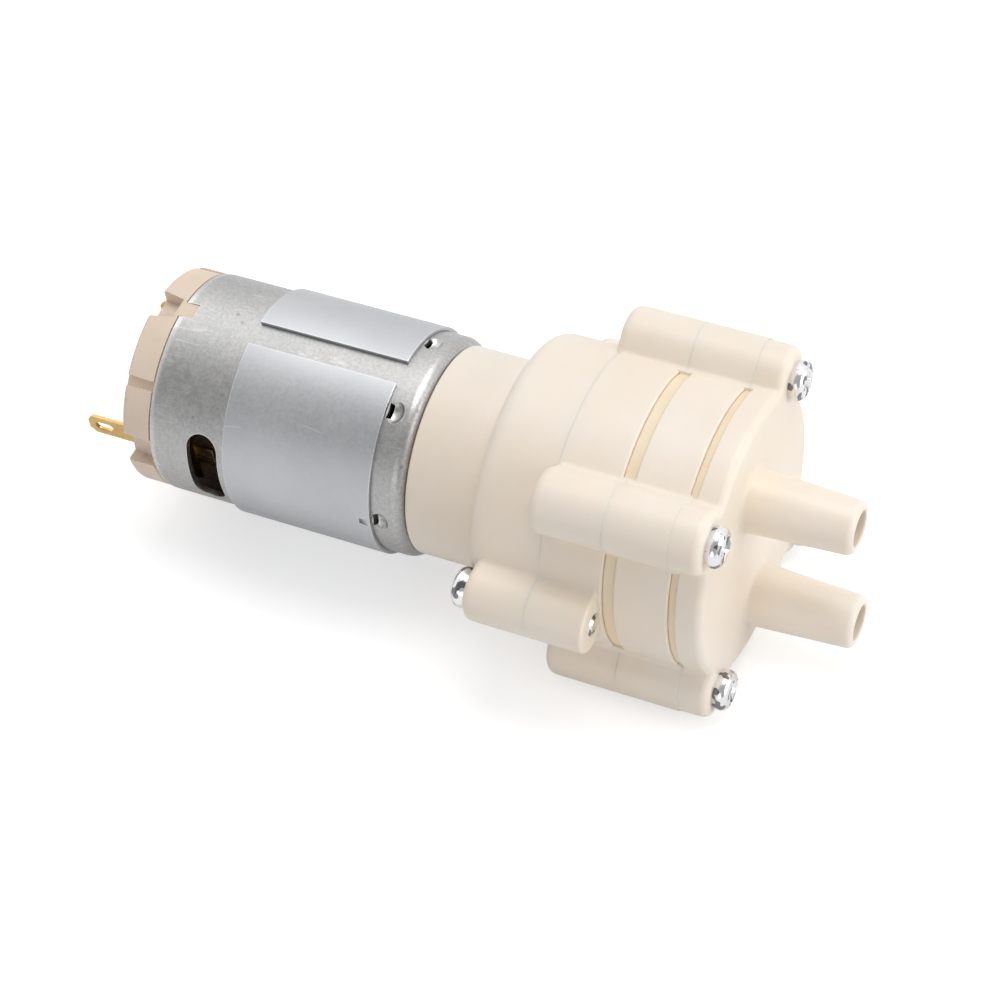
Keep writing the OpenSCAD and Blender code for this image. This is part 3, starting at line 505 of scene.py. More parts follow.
# Colour, colour of the patches and roughness; then the light inside, or the metal share
PLASTICS = {
    "cream_plastic": ((0.905, 0.822, 0.725, 1), (0.885, 0.772, 0.635, 1), 0.36, 0.3),
    "drive_plastic": ((0.82, 0.80, 0.74, 1), (0.78, 0.75, 0.68, 1), 0.3, 0.2),
}
METALS = {
    "shaft_steel": ((0.62, 0.63, 0.65, 1), (0.54, 0.55, 0.57, 1), 0.22),
    # Brass darkened well below its own colour: painted shade inside the can
    "arm_brass_in_painted_shade": ((0.24, 0.16, 0.07, 1), (0.13, 0.085, 0.04, 1), 0.34),
    "tab_brass": ((0.68, 0.46, 0.18, 1), (0.55, 0.35, 0.12, 1), 0.26),
    "commutator_copper": ((0.72, 0.36, 0.20, 1), (0.60, 0.27, 0.14, 1), 0.3),
    "core_steel": ((0.30, 0.30, 0.32, 1), (0.22, 0.21, 0.21, 1), 0.4),
}
POWDERS = {
    "brush_carbon": ((0.05, 0.05, 0.052, 1), (0.03, 0.03, 0.032, 1), 0.6),
    "magnet_ferrite": ((0.085, 0.075, 0.07, 1), (0.055, 0.05, 0.05, 1), 0.55),
    "bush_bronze": ((0.44, 0.31, 0.17, 1), (0.34, 0.23, 0.12, 1), 0.42, 1.0),
}
FINISHES = {
    "can_steel": can_finish(), "ring_zinc": ring_finish(), "screw_zinc": bright_zinc_finish(),
    "bell_plastic": bell_finish(), "yellow_rubber": rubber_finish(), "coil_copper": wire_finish(),
}
for make_finish, looks in ((moulded_plastic, PLASTICS), (plain_metal, METALS), (sintered, POWDERS)):
    for slot_name, values in looks.items():
        FINISHES[slot_name] = make_finish(slot_name, *values)


def dress_nodes():
    """Every construction node gets the finish of its slot, also where a piece stands for it"""
    for part in frame["record"]["subparts"]:
        dress(frame["nodes"][part["node"]], FINISHES[part["material_slot"]])


dress_nodes()


# Forms for the pieces, in millimetres

def arc(centre, radius, start, end, steps):
    """Points of an arc from one angle to another, in degrees"""
    angles = [math.radians(start + (end - start) * i / steps) for i in range(steps + 1)]
    return [(centre[0] + radius * math.cos(a), centre[1] + radius * math.sin(a)) for a in angles]


def at_angle(reach, angle):
    """[y, z] at an angle round the shaft, in degrees"""
    return reach * math.cos(math.radians(angle)), reach * math.sin(math.radians(angle))


def turned(x, points, angle):
    """[y, z] points turned round the shaft, each with its x"""
    turn = math.radians(angle)
    cos, sin = math.cos(turn), math.sin(turn)
    return [(x, y * cos - z * sin, y * sin + z * cos) for y, z in points]


def capped(profile):
    """A profile of [x, r] that ends on the axis at both sides"""
    return [(profile[0][0], 0)] + profile + [(profile[-1][0], 0)]


def closed_mesh(shape):
    """Ends a bmesh in millimetres: faces outwards, then to metres"""
    bmesh.ops.recalc_face_normals(shape, faces=shape.faces)
    bmesh.ops.scale(shape, vec=(MM, MM, MM), verts=shape.verts)
    mesh = bpy.data.meshes.new("form")
    shape.to_mesh(mesh)
    shape.free()
    return mesh


def lathe(profile, at=(0, 0), steps=ROUND_STEPS, hollow=False):
    """Turns [x, r] points about a line along X; an end at r 0 is one point, a hollow profile is a loop"""
    shape = bmesh.new()
    turns = [2 * math.pi * i / steps for i in range(steps)]
    rings = []
    for x, r in profile:
        ring = [(x, at[0] + r * math.cos(a), at[1] + r * math.sin(a)) for a in turns] if r else [(x, *at)]
        rings.append([shape.verts.new(point) for point in ring])
    pairs = list(zip(rings, rings[1:])) + ([(rings[-1], rings[0])] if hollow else [])
    for first, second in pairs:
        for i in range(steps):
            corners = [first[i % len(first)], first[(i + 1) % len(first)]]
            corners += [second[(i + 1) % len(second)], second[i % len(second)]]
            shape.faces.new(list(dict.fromkeys(corners)))
    return closed_mesh(shape)


def band(shape, first, second):
    """Faces between two rings that have the same number of points"""
    for i in range(len(first)):
        j = (i + 1) % len(first)
        shape.faces.new((first[i], first[j], second[j], second[i]))


def lofted(shape, rings):
    """Adds a closed skin over rings of points"""
    rows = [[shape.verts.new(point) for point in ring] for ring in rings]
    for first, second in zip(rows, rows[1:]):
        band(shape, first, second)
    shape.faces.new(rows[0])
    shape.faces.new(rows[-1])


def end_steps(x, radius, towards, steps=6):
    """[x, inset] of a rounded end, from its face to its side; towards is 1 at a back end, -1 at a front"""
    angles = [math.pi / 2 * i / steps for i in range(steps + 1)]
    return [(x + towards * radius * (1 - math.cos(a)), radius * (1 - math.sin(a))) for a in angles]


def bar_side(x0, x1, back, front):
    """[x, inset] along a bar with rounded ends"""
    return end_steps(x0, back, 1) + end_steps(x1, front, -1)[::-1]


def bar_profile(x0, x1, radius, back, front):
    """Profile of a round bar with rounded ends"""
    return [(x0, 0)] + [(x, radius - inset) for x, inset in bar_side(x0, x1, back, front)] + [(x1, 0)]


def joined(meshes):
    """One mesh of several that don't touch"""
    shape = bmesh.new()
    for mesh in meshes:
        shape.from_mesh(mesh)
    mesh = bpy.data.meshes.new("joined")
    shape.to_mesh(mesh)
    shape.free()
    return mesh


def closed_slits(obj):
    """Joins points that lie together, and fills the hair-thin slits that a cut can leave"""
    shape = bmesh.new()
    shape.from_mesh(obj.data)
    bmesh.ops.remove_doubles(shape, verts=shape.verts, dist=SLIT)
    bmesh.ops.dissolve_degenerate(shape, edges=shape.edges, dist=SLIT)
    open_edges = [edge for edge in shape.edges if len(edge.link_faces) == 1]
    bmesh.ops.holes_fill(shape, edges=open_edges, sides=0)
    bmesh.ops.recalc_face_normals(shape, faces=shape.faces)
    shape.to_mesh(obj.data)
    shape.free()
    return obj


def changed_by(obj, tool_mesh, operation):
    """Unites the piece with closed meshes, or cuts them out of it"""
    tool = make_piece("tool", tool_mesh)
    change = obj.modifiers.new("Change", "BOOLEAN")
    change.operation = operation
    change.solver = "EXACT"
    change.object = tool
    with_modifiers_applied(obj)
    bpy.data.objects.remove(tool)
    return closed_slits(obj)


def united(obj, *meshes):
    return changed_by(obj, joined(meshes), "UNION")


def cut(obj, *meshes):
    return changed_by(obj, joined(meshes), "DIFFERENCE")


def boss_outline(inset, reach, radius, inner_r):
    """Outline of a screw boss that points along Y: a fillet at each side of its foot, and a round end"""
    side = radius + FOOT_FILLET
    foot = math.sqrt((HEAD_R + FOOT_FILLET) ** 2 - side ** 2)
    lean = math.degrees(math.atan2(side, foot))
    fillet = FOOT_FILLET + inset
    inner = lean - math.degrees(inset / inner_r)
    return (
        arc((foot, -side), fillet, 180 - lean, 90, 8)
        + arc((reach, 0), radius - inset, -90, 90, 28)
        + arc((foot, side), fillet, 270, 180 + lean, 8)
        + arc((0, 0), inner_r + inset, inner, -inner, 6)
    )


def bosses(angles, reach, x0, x1, back, front, radius=LUG_R, inner_r=FOOT_IN_R):
    """Screw bosses from x0 to x1, each at its angle, with rounded ends"""
    shape = bmesh.new()
    for angle in angles:
        lofted(shape, [
            turned(x, boss_outline(inset, reach, radius, inner_r), angle)
            for x, inset in bar_side(x0, x1, back, front)
        ])
    return closed_mesh(shape)


def holes(angles, reach, x0, x1, radius, lip=0.0):
    """Straight round holes, which widen to a lip at their front"""
    profile = capped([(x0, radius), (x1 - lip, radius), (x1, radius + lip), (x1 + PAST, radius + lip)])
    return joined([lathe(profile, at_angle(reach, angle), 48) for angle in angles])


def round_plate(name, x0, x1, back, front):
    return make_piece(name, lathe(bar_profile(x0, x1, HEAD_R, back, front)))


def rubber_room(x0, x1):
    """What is cut from the bosses round the rubber that shows in a groove"""
    return lathe(capped([(x0, GROOVE_R + 0.02), (x1, GROOVE_R + 0.02)]))


# Pieces of the pump head

def make_rear_housing():
    """Neck, flare and shoulder, with two screw bosses"""
    neck_r, neck_fillet, neck_edge = 13.1, 0.5, 0.3
    flare_back, shoulder, shoulder_x, shoulder_deg = 23.1, 2.0, 26.0, 72
    edge = arc((CAN_FRONT + neck_edge, neck_r - neck_edge), neck_edge, 180, 90, 4)
    flare = arc((shoulder_x, HEAD_R - shoulder), shoulder, 90 + shoulder_deg, 90, 12)
    slope = math.atan2(flare[0][1] - neck_r, flare[0][0] - flare_back)
    run = neck_fillet * math.tan(slope / 2)
    centre = (flare_back - run, neck_r + neck_fillet)
    blend = arc(centre, neck_fillet, 270, 270 + math.degrees(slope), 6)
    rim = [(x, HEAD_R - inset) for x, inset in end_steps(REAR_FRONT, SEAM, -1)[::-1]]
    outside = [(CAN_FRONT, 0)] + edge + blend + flare + rim + [(REAR_FRONT, 0)]
    piece = make_piece("rear_housing_shell", lathe(outside))
    lug_span = (REAR_LUG_BACK, REAR_FRONT)
    united(piece, bosses(REAR_ANGLES, REAR_REACH, *lug_span, LUG_ROUND, SEAM, REAR_LUG_R))
    wall_r, inner_r, web, boss_r = 15.2, 11.15, 2.4, 5.05
    cut(piece, lathe(capped([
        (CAN_FRONT - PAST, boss_r), (CAN_FRONT + web, boss_r), (CAN_FRONT + web, inner_r),
        (flare_back + 0.8, inner_r), (shoulder_x + 1.4, wall_r), (REAR_FRONT + PAST, wall_r),
    ])))
    head_room = (REAR_LUG_BACK - SCREW_HEAD_H - PAST, REAR_LUG_BACK - PAST, SCREW_HEAD_R + 0.3)
    return cut(piece, holes(REAR_ANGLES, REAR_REACH, *head_room))


def make_cup_housing():
    """The layer with the three cups, with four front bosses and two rear ones"""
    piece = round_plate("cup_housing_shell", REAR_FRONT, MID_FRONT, SEAM, CORNER)
    front_span, rear_span = (FRONT_LUG_BACK, SPLIT_1), (REAR_FRONT, MID_FRONT - 0.4)
    united(
        piece,
        bosses(FRONT_ANGLES, FRONT_REACH, *front_span, LUG_ROUND, SEAM, LUG_R, OVERHANG_IN_R),
        bosses(REAR_ANGLES, REAR_REACH, *rear_span, SEAM, 0.45, REAR_LUG_R))
    cut(piece, rubber_room(MID_FRONT, SPLIT_1 + PAST))
    through = (REAR_FRONT - PAST, MID_FRONT)
    cut(piece, holes(REAR_ANGLES, REAR_REACH, *through, SCREW_R + 0.12, 0.25))
    return cut(piece, holes(CUP_ANGLES, CUP_REACH, *through, CUP_R + 0.3))


def make_valve_plate():
    piece = round_plate("valve_plate_shell", PLATE_BACK, PLATE_FRONT, CORNER, CORNER)
    united(piece, bosses(FRONT_ANGLES, FRONT_REACH, SPLIT_1, SPLIT_2, SEAM, SEAM))
    cut(piece, rubber_room(SPLIT_1 - PAST, PLATE_BACK))
    return cut(piece, rubber_room(PLATE_FRONT, SPLIT_2 + PAST))


def nozzle(at):
    """A tapered hose nozzle with a fillet at its foot and a rounded tip"""
    fillet, tip_round, root = 0.7, 0.9, 0.6
    foot = arc((COVER_FRONT + fillet, NOZZLE_FOOT_R + fillet), fillet, 180, 270, 8)
    tip = arc((NOZZLE_TIP - tip_round, NOZZLE_TIP_R - tip_round), tip_round, 90, 0, 8)
    back = COVER_FRONT - root
    profile = [(back, 0), (back, NOZZLE_FOOT_R + fillet)] + foot + tip + [(NOZZLE_TIP, 0)]
    return lathe(profile, at, 96)


def nozzle_bore(at):
    """The passage through a nozzle, with a rounded mouth"""
    lip = 0.22
    mouth = arc((NOZZLE_TIP - lip, NOZZLE_BORE_R + lip), lip, 270, 360, 5)
    ends = (COVER_BACK - PAST, NOZZLE_BORE_R), (NOZZLE_TIP + PAST, NOZZLE_BORE_R + lip)
    return lathe(capped([ends[0]] + mouth + [ends[1]]), at, 64)


def make_front_cover():
    """The cover with its bosses and the two hose nozzles"""
    piece = round_plate("front_cover_shell", COVER_BACK, COVER_FRONT, CORNER, EDGE_ROUND)
    united(piece, bosses(FRONT_ANGLES, FRONT_REACH, SPLIT_2, COVER_FRONT, SEAM, EDGE_ROUND, COVER_LUG_R))
    united(piece, *[nozzle(at) for at in NOZZLES])
    cut(piece, rubber_room(SPLIT_2 - PAST, COVER_BACK))
    return cut(piece, *[nozzle_bore(at) for at in NOZZLES])


def dress_head():
    makers = {
        "rear_housing": make_rear_housing, "cup_housing": make_cup_housing,
        "valve_plate": make_valve_plate, "front_cover": make_front_cover,
    }
    for node, maker in makers.items():
        fit(dress(smoothed(maker()), FINISHES["cream_plastic"]), node)


dress_head()


# Screws

def ring_of_copies_tree():
    """Puts copies of a mesh round the X axis, each turned a little about its own length"""
    geometry, whole = "NodeSocketGeometry", "NodeSocketInt"
    tree, given, out = new_group("ring_of_copies", [
        ("Geometry", geometry, None), ("Count", whole, 4), ("Reach", FLOAT, 0.0189),
        ("First Angle", FLOAT, 0.0), ("Station", FLOAT, 0.0), ("Turn", FLOAT, 0.0), ("Seed", whole, 1),
        ("Material", "NodeSocketMaterial", None),
    ], [("Geometry", geometry)], "GeometryNodeTree")
    index = add(tree, "GeometryNodeInputIndex").outputs[0]
    share = calc(tree, "DIVIDE", index, given["Count"])
    first = calc(tree, "RADIANS", given["First Angle"])
    angle = calc(tree, "ADD", first, times(tree, share, 2 * math.pi))
    y = times(tree, given["Reach"], calc(tree, "COSINE", angle))
    z = times(tree, given["Reach"], calc(tree, "SINE", angle))
    place = add(tree, "ShaderNodeCombineXYZ", {"X": given["Station"], "Y": y, "Z": z}).outputs[0]
    points = add(tree, "GeometryNodePoints", {"Count": given["Count"], "Position": place}).outputs[0]
    chance = add(tree, "FunctionNodeRandomValue", {"Seed": given["Seed"]}, data_type="FLOAT").outputs[1]
    turn = add(tree, "ShaderNodeCombineXYZ", {"X": times(tree, chance, given["Turn"])}).outputs[0]
    values = {"Points": points, "Instance": given["Geometry"], "Rotation": turn}
    copies = add(tree, "GeometryNodeInstanceOnPoints", values).outputs[0]
    solid = add(tree, "GeometryNodeRealizeInstances", {"Geometry": copies}).outputs[0]
    values = {"Geometry": solid, "Material": given["Material"]}
    tree.links.new(add(tree, "GeometryNodeSetMaterial", values).outputs[0], out["Geometry"])
    return tree


ring_of_copies = ring_of_copies_tree()


def ring_of(name, mesh, slot, **values):
    """Copies of a mesh round the shaft, as one piece in plain mesh; values are inputs of the tree"""
    obj = make_piece(name, mesh)
    growth = obj.modifiers.new("Growth", "NODES")
    growth.node_group = ring_of_copies
    sockets = {s.name: s.identifier for s in ring_of_copies.interface.items_tree if s.in_out == "INPUT"}
    for key, value in spaced({**values, "Material": FINISHES[slot]}).items():
        growth[sockets[key]] = value
    return with_modifiers_applied(obj)


def cross_recess(depth, width, length):
    """A cross that narrows with its depth, to cut into a screw's head"""
    floor_share, top_share, above = 0.45, 1.15, 0.4
    shape = bmesh.new()
    rings = []
    for x, share in ((SCREW_HEAD_H - depth, floor_share), (SCREW_HEAD_H + above, top_share)):
        w, arm = width / 2 * share, length / 2 * share
        quarter = [(arm, -w), (arm, w), (w, w)]
        rings.append([point for angle in (0, 90, 180, 270) for point in turned(x, quarter, angle)])
    lofted(shape, rings)
    return closed_mesh(shape)


def pan_screw(length, facing):
    """A pan head screw along X with a cross recess; its head's seat is at the origin"""
    side_round, crown_r, seat_r, tip_r = 0.95, 1.55, SCREW_HEAD_R - 0.22, SCREW_R - 0.35
    dome = arc((SCREW_HEAD_H - side_round, crown_r), side_round, 120, 10, 14)
    shank = [(-length, 0), (-length, tip_r), (0.4 - length, SCREW_R), (0, SCREW_R), (0, seat_r)]
    piece = make_piece("screw", lathe(shank + dome + [(SCREW_HEAD_H, 0)], steps=48))
    return finished_mesh(cut(piece, cross_recess(1.25, 0.95, 3.3)), facing)


def make_screws():
    front_len, rear_len, most_turn = 15.3, 15.75, 1.4
    front = ring_of(
        "front_screw_set", pan_screw(front_len, 1), "screw_zinc", Count=4, Reach=FRONT_REACH * MM,
        First_Angle=45.0, Station=COVER_FRONT * MM, Turn=most_turn, Seed=3)
    fit(front, "front_screws")
    rear = ring_of(
        "rear_screw_set", pan_screw(rear_len, -1), "screw_zinc", Count=2, Reach=REAR_REACH * MM,
        First_Angle=0.0, Station=REAR_LUG_BACK * MM, Turn=most_turn, Seed=5)
    fit(rear, "rear_screws")


make_screws()


# Pieces of the motor

def block(angle, x0, x1, floor0, floor1, top, width0, width1):
    """A closed block at an angle round the shaft, with the radius of its floor and its width at x0 and x1"""
    shape = bmesh.new()
    rings = []
    for x, floor, w in ((x0, floor0, width0 / 2), (x1, floor1, width1 / 2)):
        rings.append(turned(x, ((floor, -w), (floor, w), (top, w), (top, -w)), angle))
    lofted(shape, rings)
    return closed_mesh(shape)


def vent_slot(side):
    """A slot with round ends through the can's wall, at -Y or +Y"""
    front, width, length, rise, y0, y1 = RING_BACK - 1.05, 4.1, 11.1, 1.0, 9.0, 16.0
    middle, half = front - width / 2, length / 2 - width / 2
    outline = arc((middle, half), width / 2, 0, 180, 16) + arc((middle, -half), width / 2, 180, 360, 16)
    outline = [(x, z - side * rise) for x, z in outline]
    shape = bmesh.new()
    lofted(shape, [[(x, side * y, z) for x, z in outline] for y in (y0, y1)])
    return closed_mesh(shape)


def dent(angle):
    """A rounded scoop in the can's side, and the slit that is pressed through its back end"""
    radius, half, lift, middle = 1.9, 1.42, 1.2, RING_FRONT + 1.1
    bow = [(middle + half * x, radius * r) for x, r in arc((0, 0), 1, 180, 0, 14)[1:-1]]
    scoop = [(middle - half, 0)] + bow + [(middle + half, 0)]
    slit_span, slit_floor = (RING_FRONT + 0.15, RING_FRONT + 0.65), CAN_R - 1.2
    slit = block(angle, *slit_span, slit_floor, slit_floor, OUTSIDE_R, 2.0, 1.7)
    return lathe(scoop, at_angle(CAN_R + lift, angle), 32), slit


def turned_with_motor(obj):
    """The motor is turned a little about the shaft"""
    obj.data.transform(Matrix.Rotation(math.radians(MOTOR_TURN), 4, "X"))
    return obj


def make_can():
    """Drawn can with a round front edge and a bush boss, vent slots, keyed rim and pressed dents"""
    boss_r, boss_h, shaft_room = 4.9, 2.5, SHAFT_R + 0.8
    round_x, round_r = CAN_FRONT - CAN_ROUND, CAN_R - CAN_ROUND
    boss_front, boss_back, boss_in = CAN_FRONT + boss_h, CAN_FRONT + boss_h - CAN_WALL, boss_r - CAN_WALL
    rim = [(0, CAN_R - CAN_WALL), (0, CAN_R - 0.24), (0.1, CAN_R - 0.12), (0.8, CAN_R)]
    profile = [(CAN_BACK + x, r) for x, r in rim]
    profile += arc((round_x, round_r), CAN_ROUND, 90, 0, 12)
    profile += [(CAN_FRONT, boss_r), (boss_front, boss_r), (boss_front, shaft_room)]
    profile += [(boss_back, shaft_room), (boss_back, boss_in), (CAN_FRONT - CAN_WALL, boss_in)]
    profile += arc((round_x, round_r), CAN_ROUND - CAN_WALL, 0, 90, 6)
    piece = make_piece("motor_can_shell", lathe(profile, hollow=True))
    key_span = (CAN_BACK - PAST, CAN_BACK + KEY_LEN)
    keyways = [block(angle, *key_span, 12, 12, OUTSIDE_R, KEY_W, KEY_W) for angle in KEY_ANGLES]
    screw_holes = holes(REAR_ANGLES, 8.0, CAN_FRONT - 2, CAN_FRONT + 1, 1.35)
    cut(piece, vent_slot(-1), vent_slot(1), *keyways, screw_holes)
    scoops, slits = zip(*[dent(angle) for angle in DENT_ANGLES])
    cut(piece, *scoops)
    cut(piece, *slits)
    return edges_eased(turned_with_motor(piece), 0.1)


def tab_room(side):
    """Where a solder tab passes through the bell's plate"""
    tab_y, half_t, z0, z1 = side * 9.9, 0.28, -2.55, 0.55
    y0, y1 = tab_y - half_t, tab_y + half_t
    shape = bmesh.new()
    x_ends = (BELL_BACK - PAST, CAN_BACK + SPIGOT_LEN + PAST)
    lofted(shape, [[(x, y0, z0), (x, y1, z0), (x, y1, z1), (x, y0, z1)] for x in x_ends])
    return closed_mesh(shape)


def make_end_bell():
    """Castle-notched plastic bell with a spigot in the can and keys in the can's rim"""
    rim_r, rim_t, bush_r, bush_wall, edge, edge_round = CAN_R - 0.12, 2.6, 3.02, 1.5, 0.3, 0.45
    plate_back, plate_front = BELL_BACK + 1, BELL_BACK + 3.3
    spigot_r, spigot_front = CAN_R - CAN_WALL - 0.02, CAN_BACK + SPIGOT_LEN
    spigot_in, bush_out = spigot_r - 1.2, bush_r + bush_wall
    profile = [(BELL_BACK, bush_r), (BELL_BACK, bush_out), (plate_back, bush_out)]
    profile += [(plate_back, rim_r - rim_t), (BELL_BACK + edge, rim_r - rim_t)]
    profile += [(BELL_BACK, rim_r - rim_t + edge)]
    profile += arc((BELL_BACK + edge_round, rim_r - edge_round), edge_round, 180, 90, 5)
    profile += [(CAN_BACK - 0.16, rim_r), (CAN_BACK - 0.12, rim_r - 0.04), (CAN_BACK - 0.12, spigot_r)]
    profile += [(spigot_front, spigot_r), (spigot_front, spigot_in), (plate_front, spigot_in)]
    piece = make_piece("end_bell_shell", lathe(profile + [(plate_front, bush_r)], hollow=True))
    gap = 0.08
    key = (CAN_BACK - 0.5, CAN_BACK + KEY_LEN - gap, 12.6, 12.6, rim_r - 0.03, KEY_W - gap, KEY_W - gap)
    united(piece, *[block(angle, *key) for angle in KEY_ANGLES])
    back, stop, floor, shallow = BELL_BACK - PAST, CAN_BACK - 0.6, CAN_R - 1.75, rim_r - 0.65
    castle = (back, stop, floor - 0.7, floor, OUTSIDE_R, 4.6, 3.0)
    nick = (back, stop + 1, shallow, shallow, OUTSIDE_R, 1.5, 1.2)
    deep = (back, CAN_BACK - 0.11, floor - 0.6, floor + 0.2, OUTSIDE_R, 4.9, 4.3)
    notches = ((castle, KEY_ANGLES), (nick, (45.5, 134.5, 225.5, 314.5)), (deep, (-5.5, 174.5)))
    cut(piece, *[block(angle, *notch) for notch, angles in notches for angle in angles])
    cut(piece, tab_room(-1), tab_room(1))
    return edges_eased(turned_with_motor(piece), 0.22)


def make_ring():
    """The open steel ring, with a small square punch mark beside its front edge"""
    piece = softened("flux_ring", "flux_ring_shell", 0.1)
    mark_span, floors = (RING_FRONT - 1.5, RING_FRONT - 0.35), (RING_R - 0.32, RING_R - 0.04)
    return smoothed(cut(piece, block(178.3, *mark_span, *floors, OUTSIDE_R, 0.9, 1.25)))


def make_brush_arms():
    """Leaf springs, with a narrow leg beside the vent slot and a wide pad behind the brush"""
    piece = softened("brush_arms", "brush_arm_leaves", 0.05)
    leg_span = (CAN_BACK + 4.1, CAN_BACK + 8.1)
    cuts = [block(angle + MOTOR_TURN, *leg_span, 9.6, 9.6, 12, 12, 12) for angle in REAR_ANGLES]
    return smoothed(cut(piece, *cuts))


def dress_motor():
    """Each piece with its finish slot, the node that it stands for, and its finish"""
    pieces = [
        (smoothed(make_end_bell()), "bell_plastic", "end_bell", "bell_plastic"),
        (smoothed(make_can()), "can_steel", "motor_can", "can_steel"),
        (make_ring(), "ring_zinc", "flux_ring", "ring_zinc"),
        (softened("terminals", "terminals_shell", 0.06), "tab_brass", "terminals", "tab_brass"),
        (make_brush_arms(), "tab_brass", "brush_arms", "arm_brass_in_painted_shade"),
    ]
    for piece, slot_name, node, finish in pieces:
        fit(dress(piece, FINISHES[finish]), node)


dress_motor()


# Rubber pieces

def cup_mesh(angle):
    """A cup with a rolled floor, which lies where the slanted wobble plate holds it"""
    at = at_angle(CUP_REACH, angle)
    floor = REAR_FRONT + 1.5 + at[1] * math.sin(math.radians(PIN_TILT))
    wall, roll, inner_roll, bite = 1.0, 1.2, 0.8, 0.6
    front, inner_r = MID_FRONT + bite, CUP_R - wall
    profile = [(floor, 0)] + arc((floor + roll, CUP_R - roll), roll, 180, 90, 8) + [(front, CUP_R)]
    profile += [(front, inner_r)] + arc((floor + 2.4, inner_r - inner_roll), inner_roll, 90, 180, 5)
    return lathe(profile + [(floor + 1.6, 0)], at, 64)


def stem_mesh(angle):
    """The stem under a cup: its bulb sits behind the wobble plate's arm"""
    back, arm_front, reach = -ARM_HALF - 0.1, ARM_HALF + 0.1, REAR_FRONT + 2 - PIVOT_X
    bulb_r, foot_r = STEM_R + 0.7, STEM_R + 0.8
    mesh = lathe([
        (back - 1.8, 0), (back - 1.8, STEM_R * 0.6), (back - 1.5, STEM_R * 0.85), (back - 0.5, bulb_r),
        (back - 0.15, bulb_r), (back, STEM_R + 0.5), (back, STEM_R), (arm_front, STEM_R),
        (arm_front, foot_r), (reach, foot_r), (reach, 0),
    ], at_angle(CUP_REACH, angle), 48)
    tilt = Matrix.Rotation(math.radians(PIN_TILT), 4, "Y")
    mesh.transform(Matrix.Translation((PIVOT_X * MM, 0, 0)) @ tilt)
    return mesh


def make_diaphragm():
    """The clamped rim, whose edge shows in a groove, with three cups and their stems"""
    rim = bar_profile(MID_FRONT, PLATE_BACK, GROOVE_R, 0.25, 0.25)
    piece = make_piece("diaphragm_rubber", lathe(rim))
    cut(piece, holes(CUP_ANGLES, CUP_REACH, MID_FRONT - PAST, PLATE_BACK + PAST, CUP_R - 1.0))
    united(piece, *[cup_mesh(angle) for angle in CUP_ANGLES])
    return united(piece, *[stem_mesh(angle) for angle in CUP_ANGLES])


def room_wall(room_r, wall, x0, x1):
    """A closed wall round the space from the middle to the upper nozzle"""
    outlet = NOZZLES[0]
    lean = math.degrees(math.atan2(outlet[1], outlet[0]))
    shape = bmesh.new()
    rows = []
    for radius, x in ((room_r + wall, x0), (room_r + wall, x1), (room_r, x1), (room_r, x0)):
        outline = arc((0, 0), radius, lean + 90, lean + 270, 20)
        outline += arc(outlet, radius, lean - 90, lean + 90, 20)
        rows.append([shape.verts.new((x, y, z)) for y, z in outline])
    for first, second in zip(rows, rows[1:] + rows[:1]):
        band(shape, first, second)
    return closed_mesh(shape)


def make_cover_seal():
    """A flat ring with a rounded edge, and the wall round the outlet's room"""
    rim = bar_profile(PLATE_FRONT, COVER_BACK, GROOVE_R, 0.2, 0.2)
    piece = make_piece("cover_seal_rubber", lathe(rim))
    inner_r, room_r, wall, inset = 14.3, 3.4, 1.2, 0.02
    cut(piece, lathe(capped([(PLATE_FRONT - PAST, inner_r), (COVER_BACK + PAST, inner_r)]), steps=128))
    return united(piece, room_wall(room_r, wall, PLATE_FRONT + inset, COVER_BACK - inset))


def umbrella(disc_r, web, facing):
    """An umbrella valve at the origin: a thin domed disc, with a stem and a bulb through a web behind it"""
    stem, bulb, rim_t, middle_t = 0.8, 1.2, 0.35, 0.75
    back, bulb_front = -web - 1.3, -web - 0.05
    profile = [(back, 0), (back, stem * 0.5), (-web - 0.5, bulb), (bulb_front, bulb), (bulb_front, stem)]
    profile += [(0.01, stem), (0.01, disc_r - 0.1), (0.1, disc_r), (rim_t, disc_r - 0.05)]
    profile += [(middle_t, stem), (middle_t, 0)]
    return finished_mesh(make_piece("umbrella", lathe(profile, steps=48)), facing)


def half_width(node):
    low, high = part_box(node)
    return (high.y - low.y) / MM / 2


def dress_rubber():
    finish = FINISHES["yellow_rubber"]
    for piece, node in ((make_diaphragm(), "diaphragm"), (make_cover_seal(), "cover_seal")):
        fit(dress(smoothed(piece), finish), node)
    chamber_front, web, inlet_reach, first_angle = PLATE_BACK + 2.4, 2.1, CUP_REACH + 1.6, 30.0
    inlet_r = half_width("inlet_valves") - inlet_reach * math.cos(math.radians(first_angle))
    inlets = ring_of(
        "inlet_valve_set", umbrella(inlet_r, web, -1), "yellow_rubber", Count=3, Reach=inlet_reach * MM,
        First_Angle=first_angle, Station=chamber_front * MM, Turn=0.0, Seed=7)
    fit(inlets, "inlet_valves")
    outlet = make_piece("outlet_valve_rubber", umbrella(half_width("outlet_valve"), web, 1))
    outlet.data.transform(Matrix.Translation(((chamber_front + web) * MM, 0, 0)))
    fit(dress(outlet, finish), "outlet_valve")


dress_rubber()


# Stage, light and camera

def background_share(tree):
    """1 for the rays that show the background: those of the camera, of a reflection and through glass"""
    path = add(tree, "ShaderNodeLightPath").outputs
    seen = calc(tree, "MAXIMUM", path["Is Camera Ray"], path["Is Glossy Ray"])
    return calc(tree, "MAXIMUM", seen, path["Is Transmission Ray"])


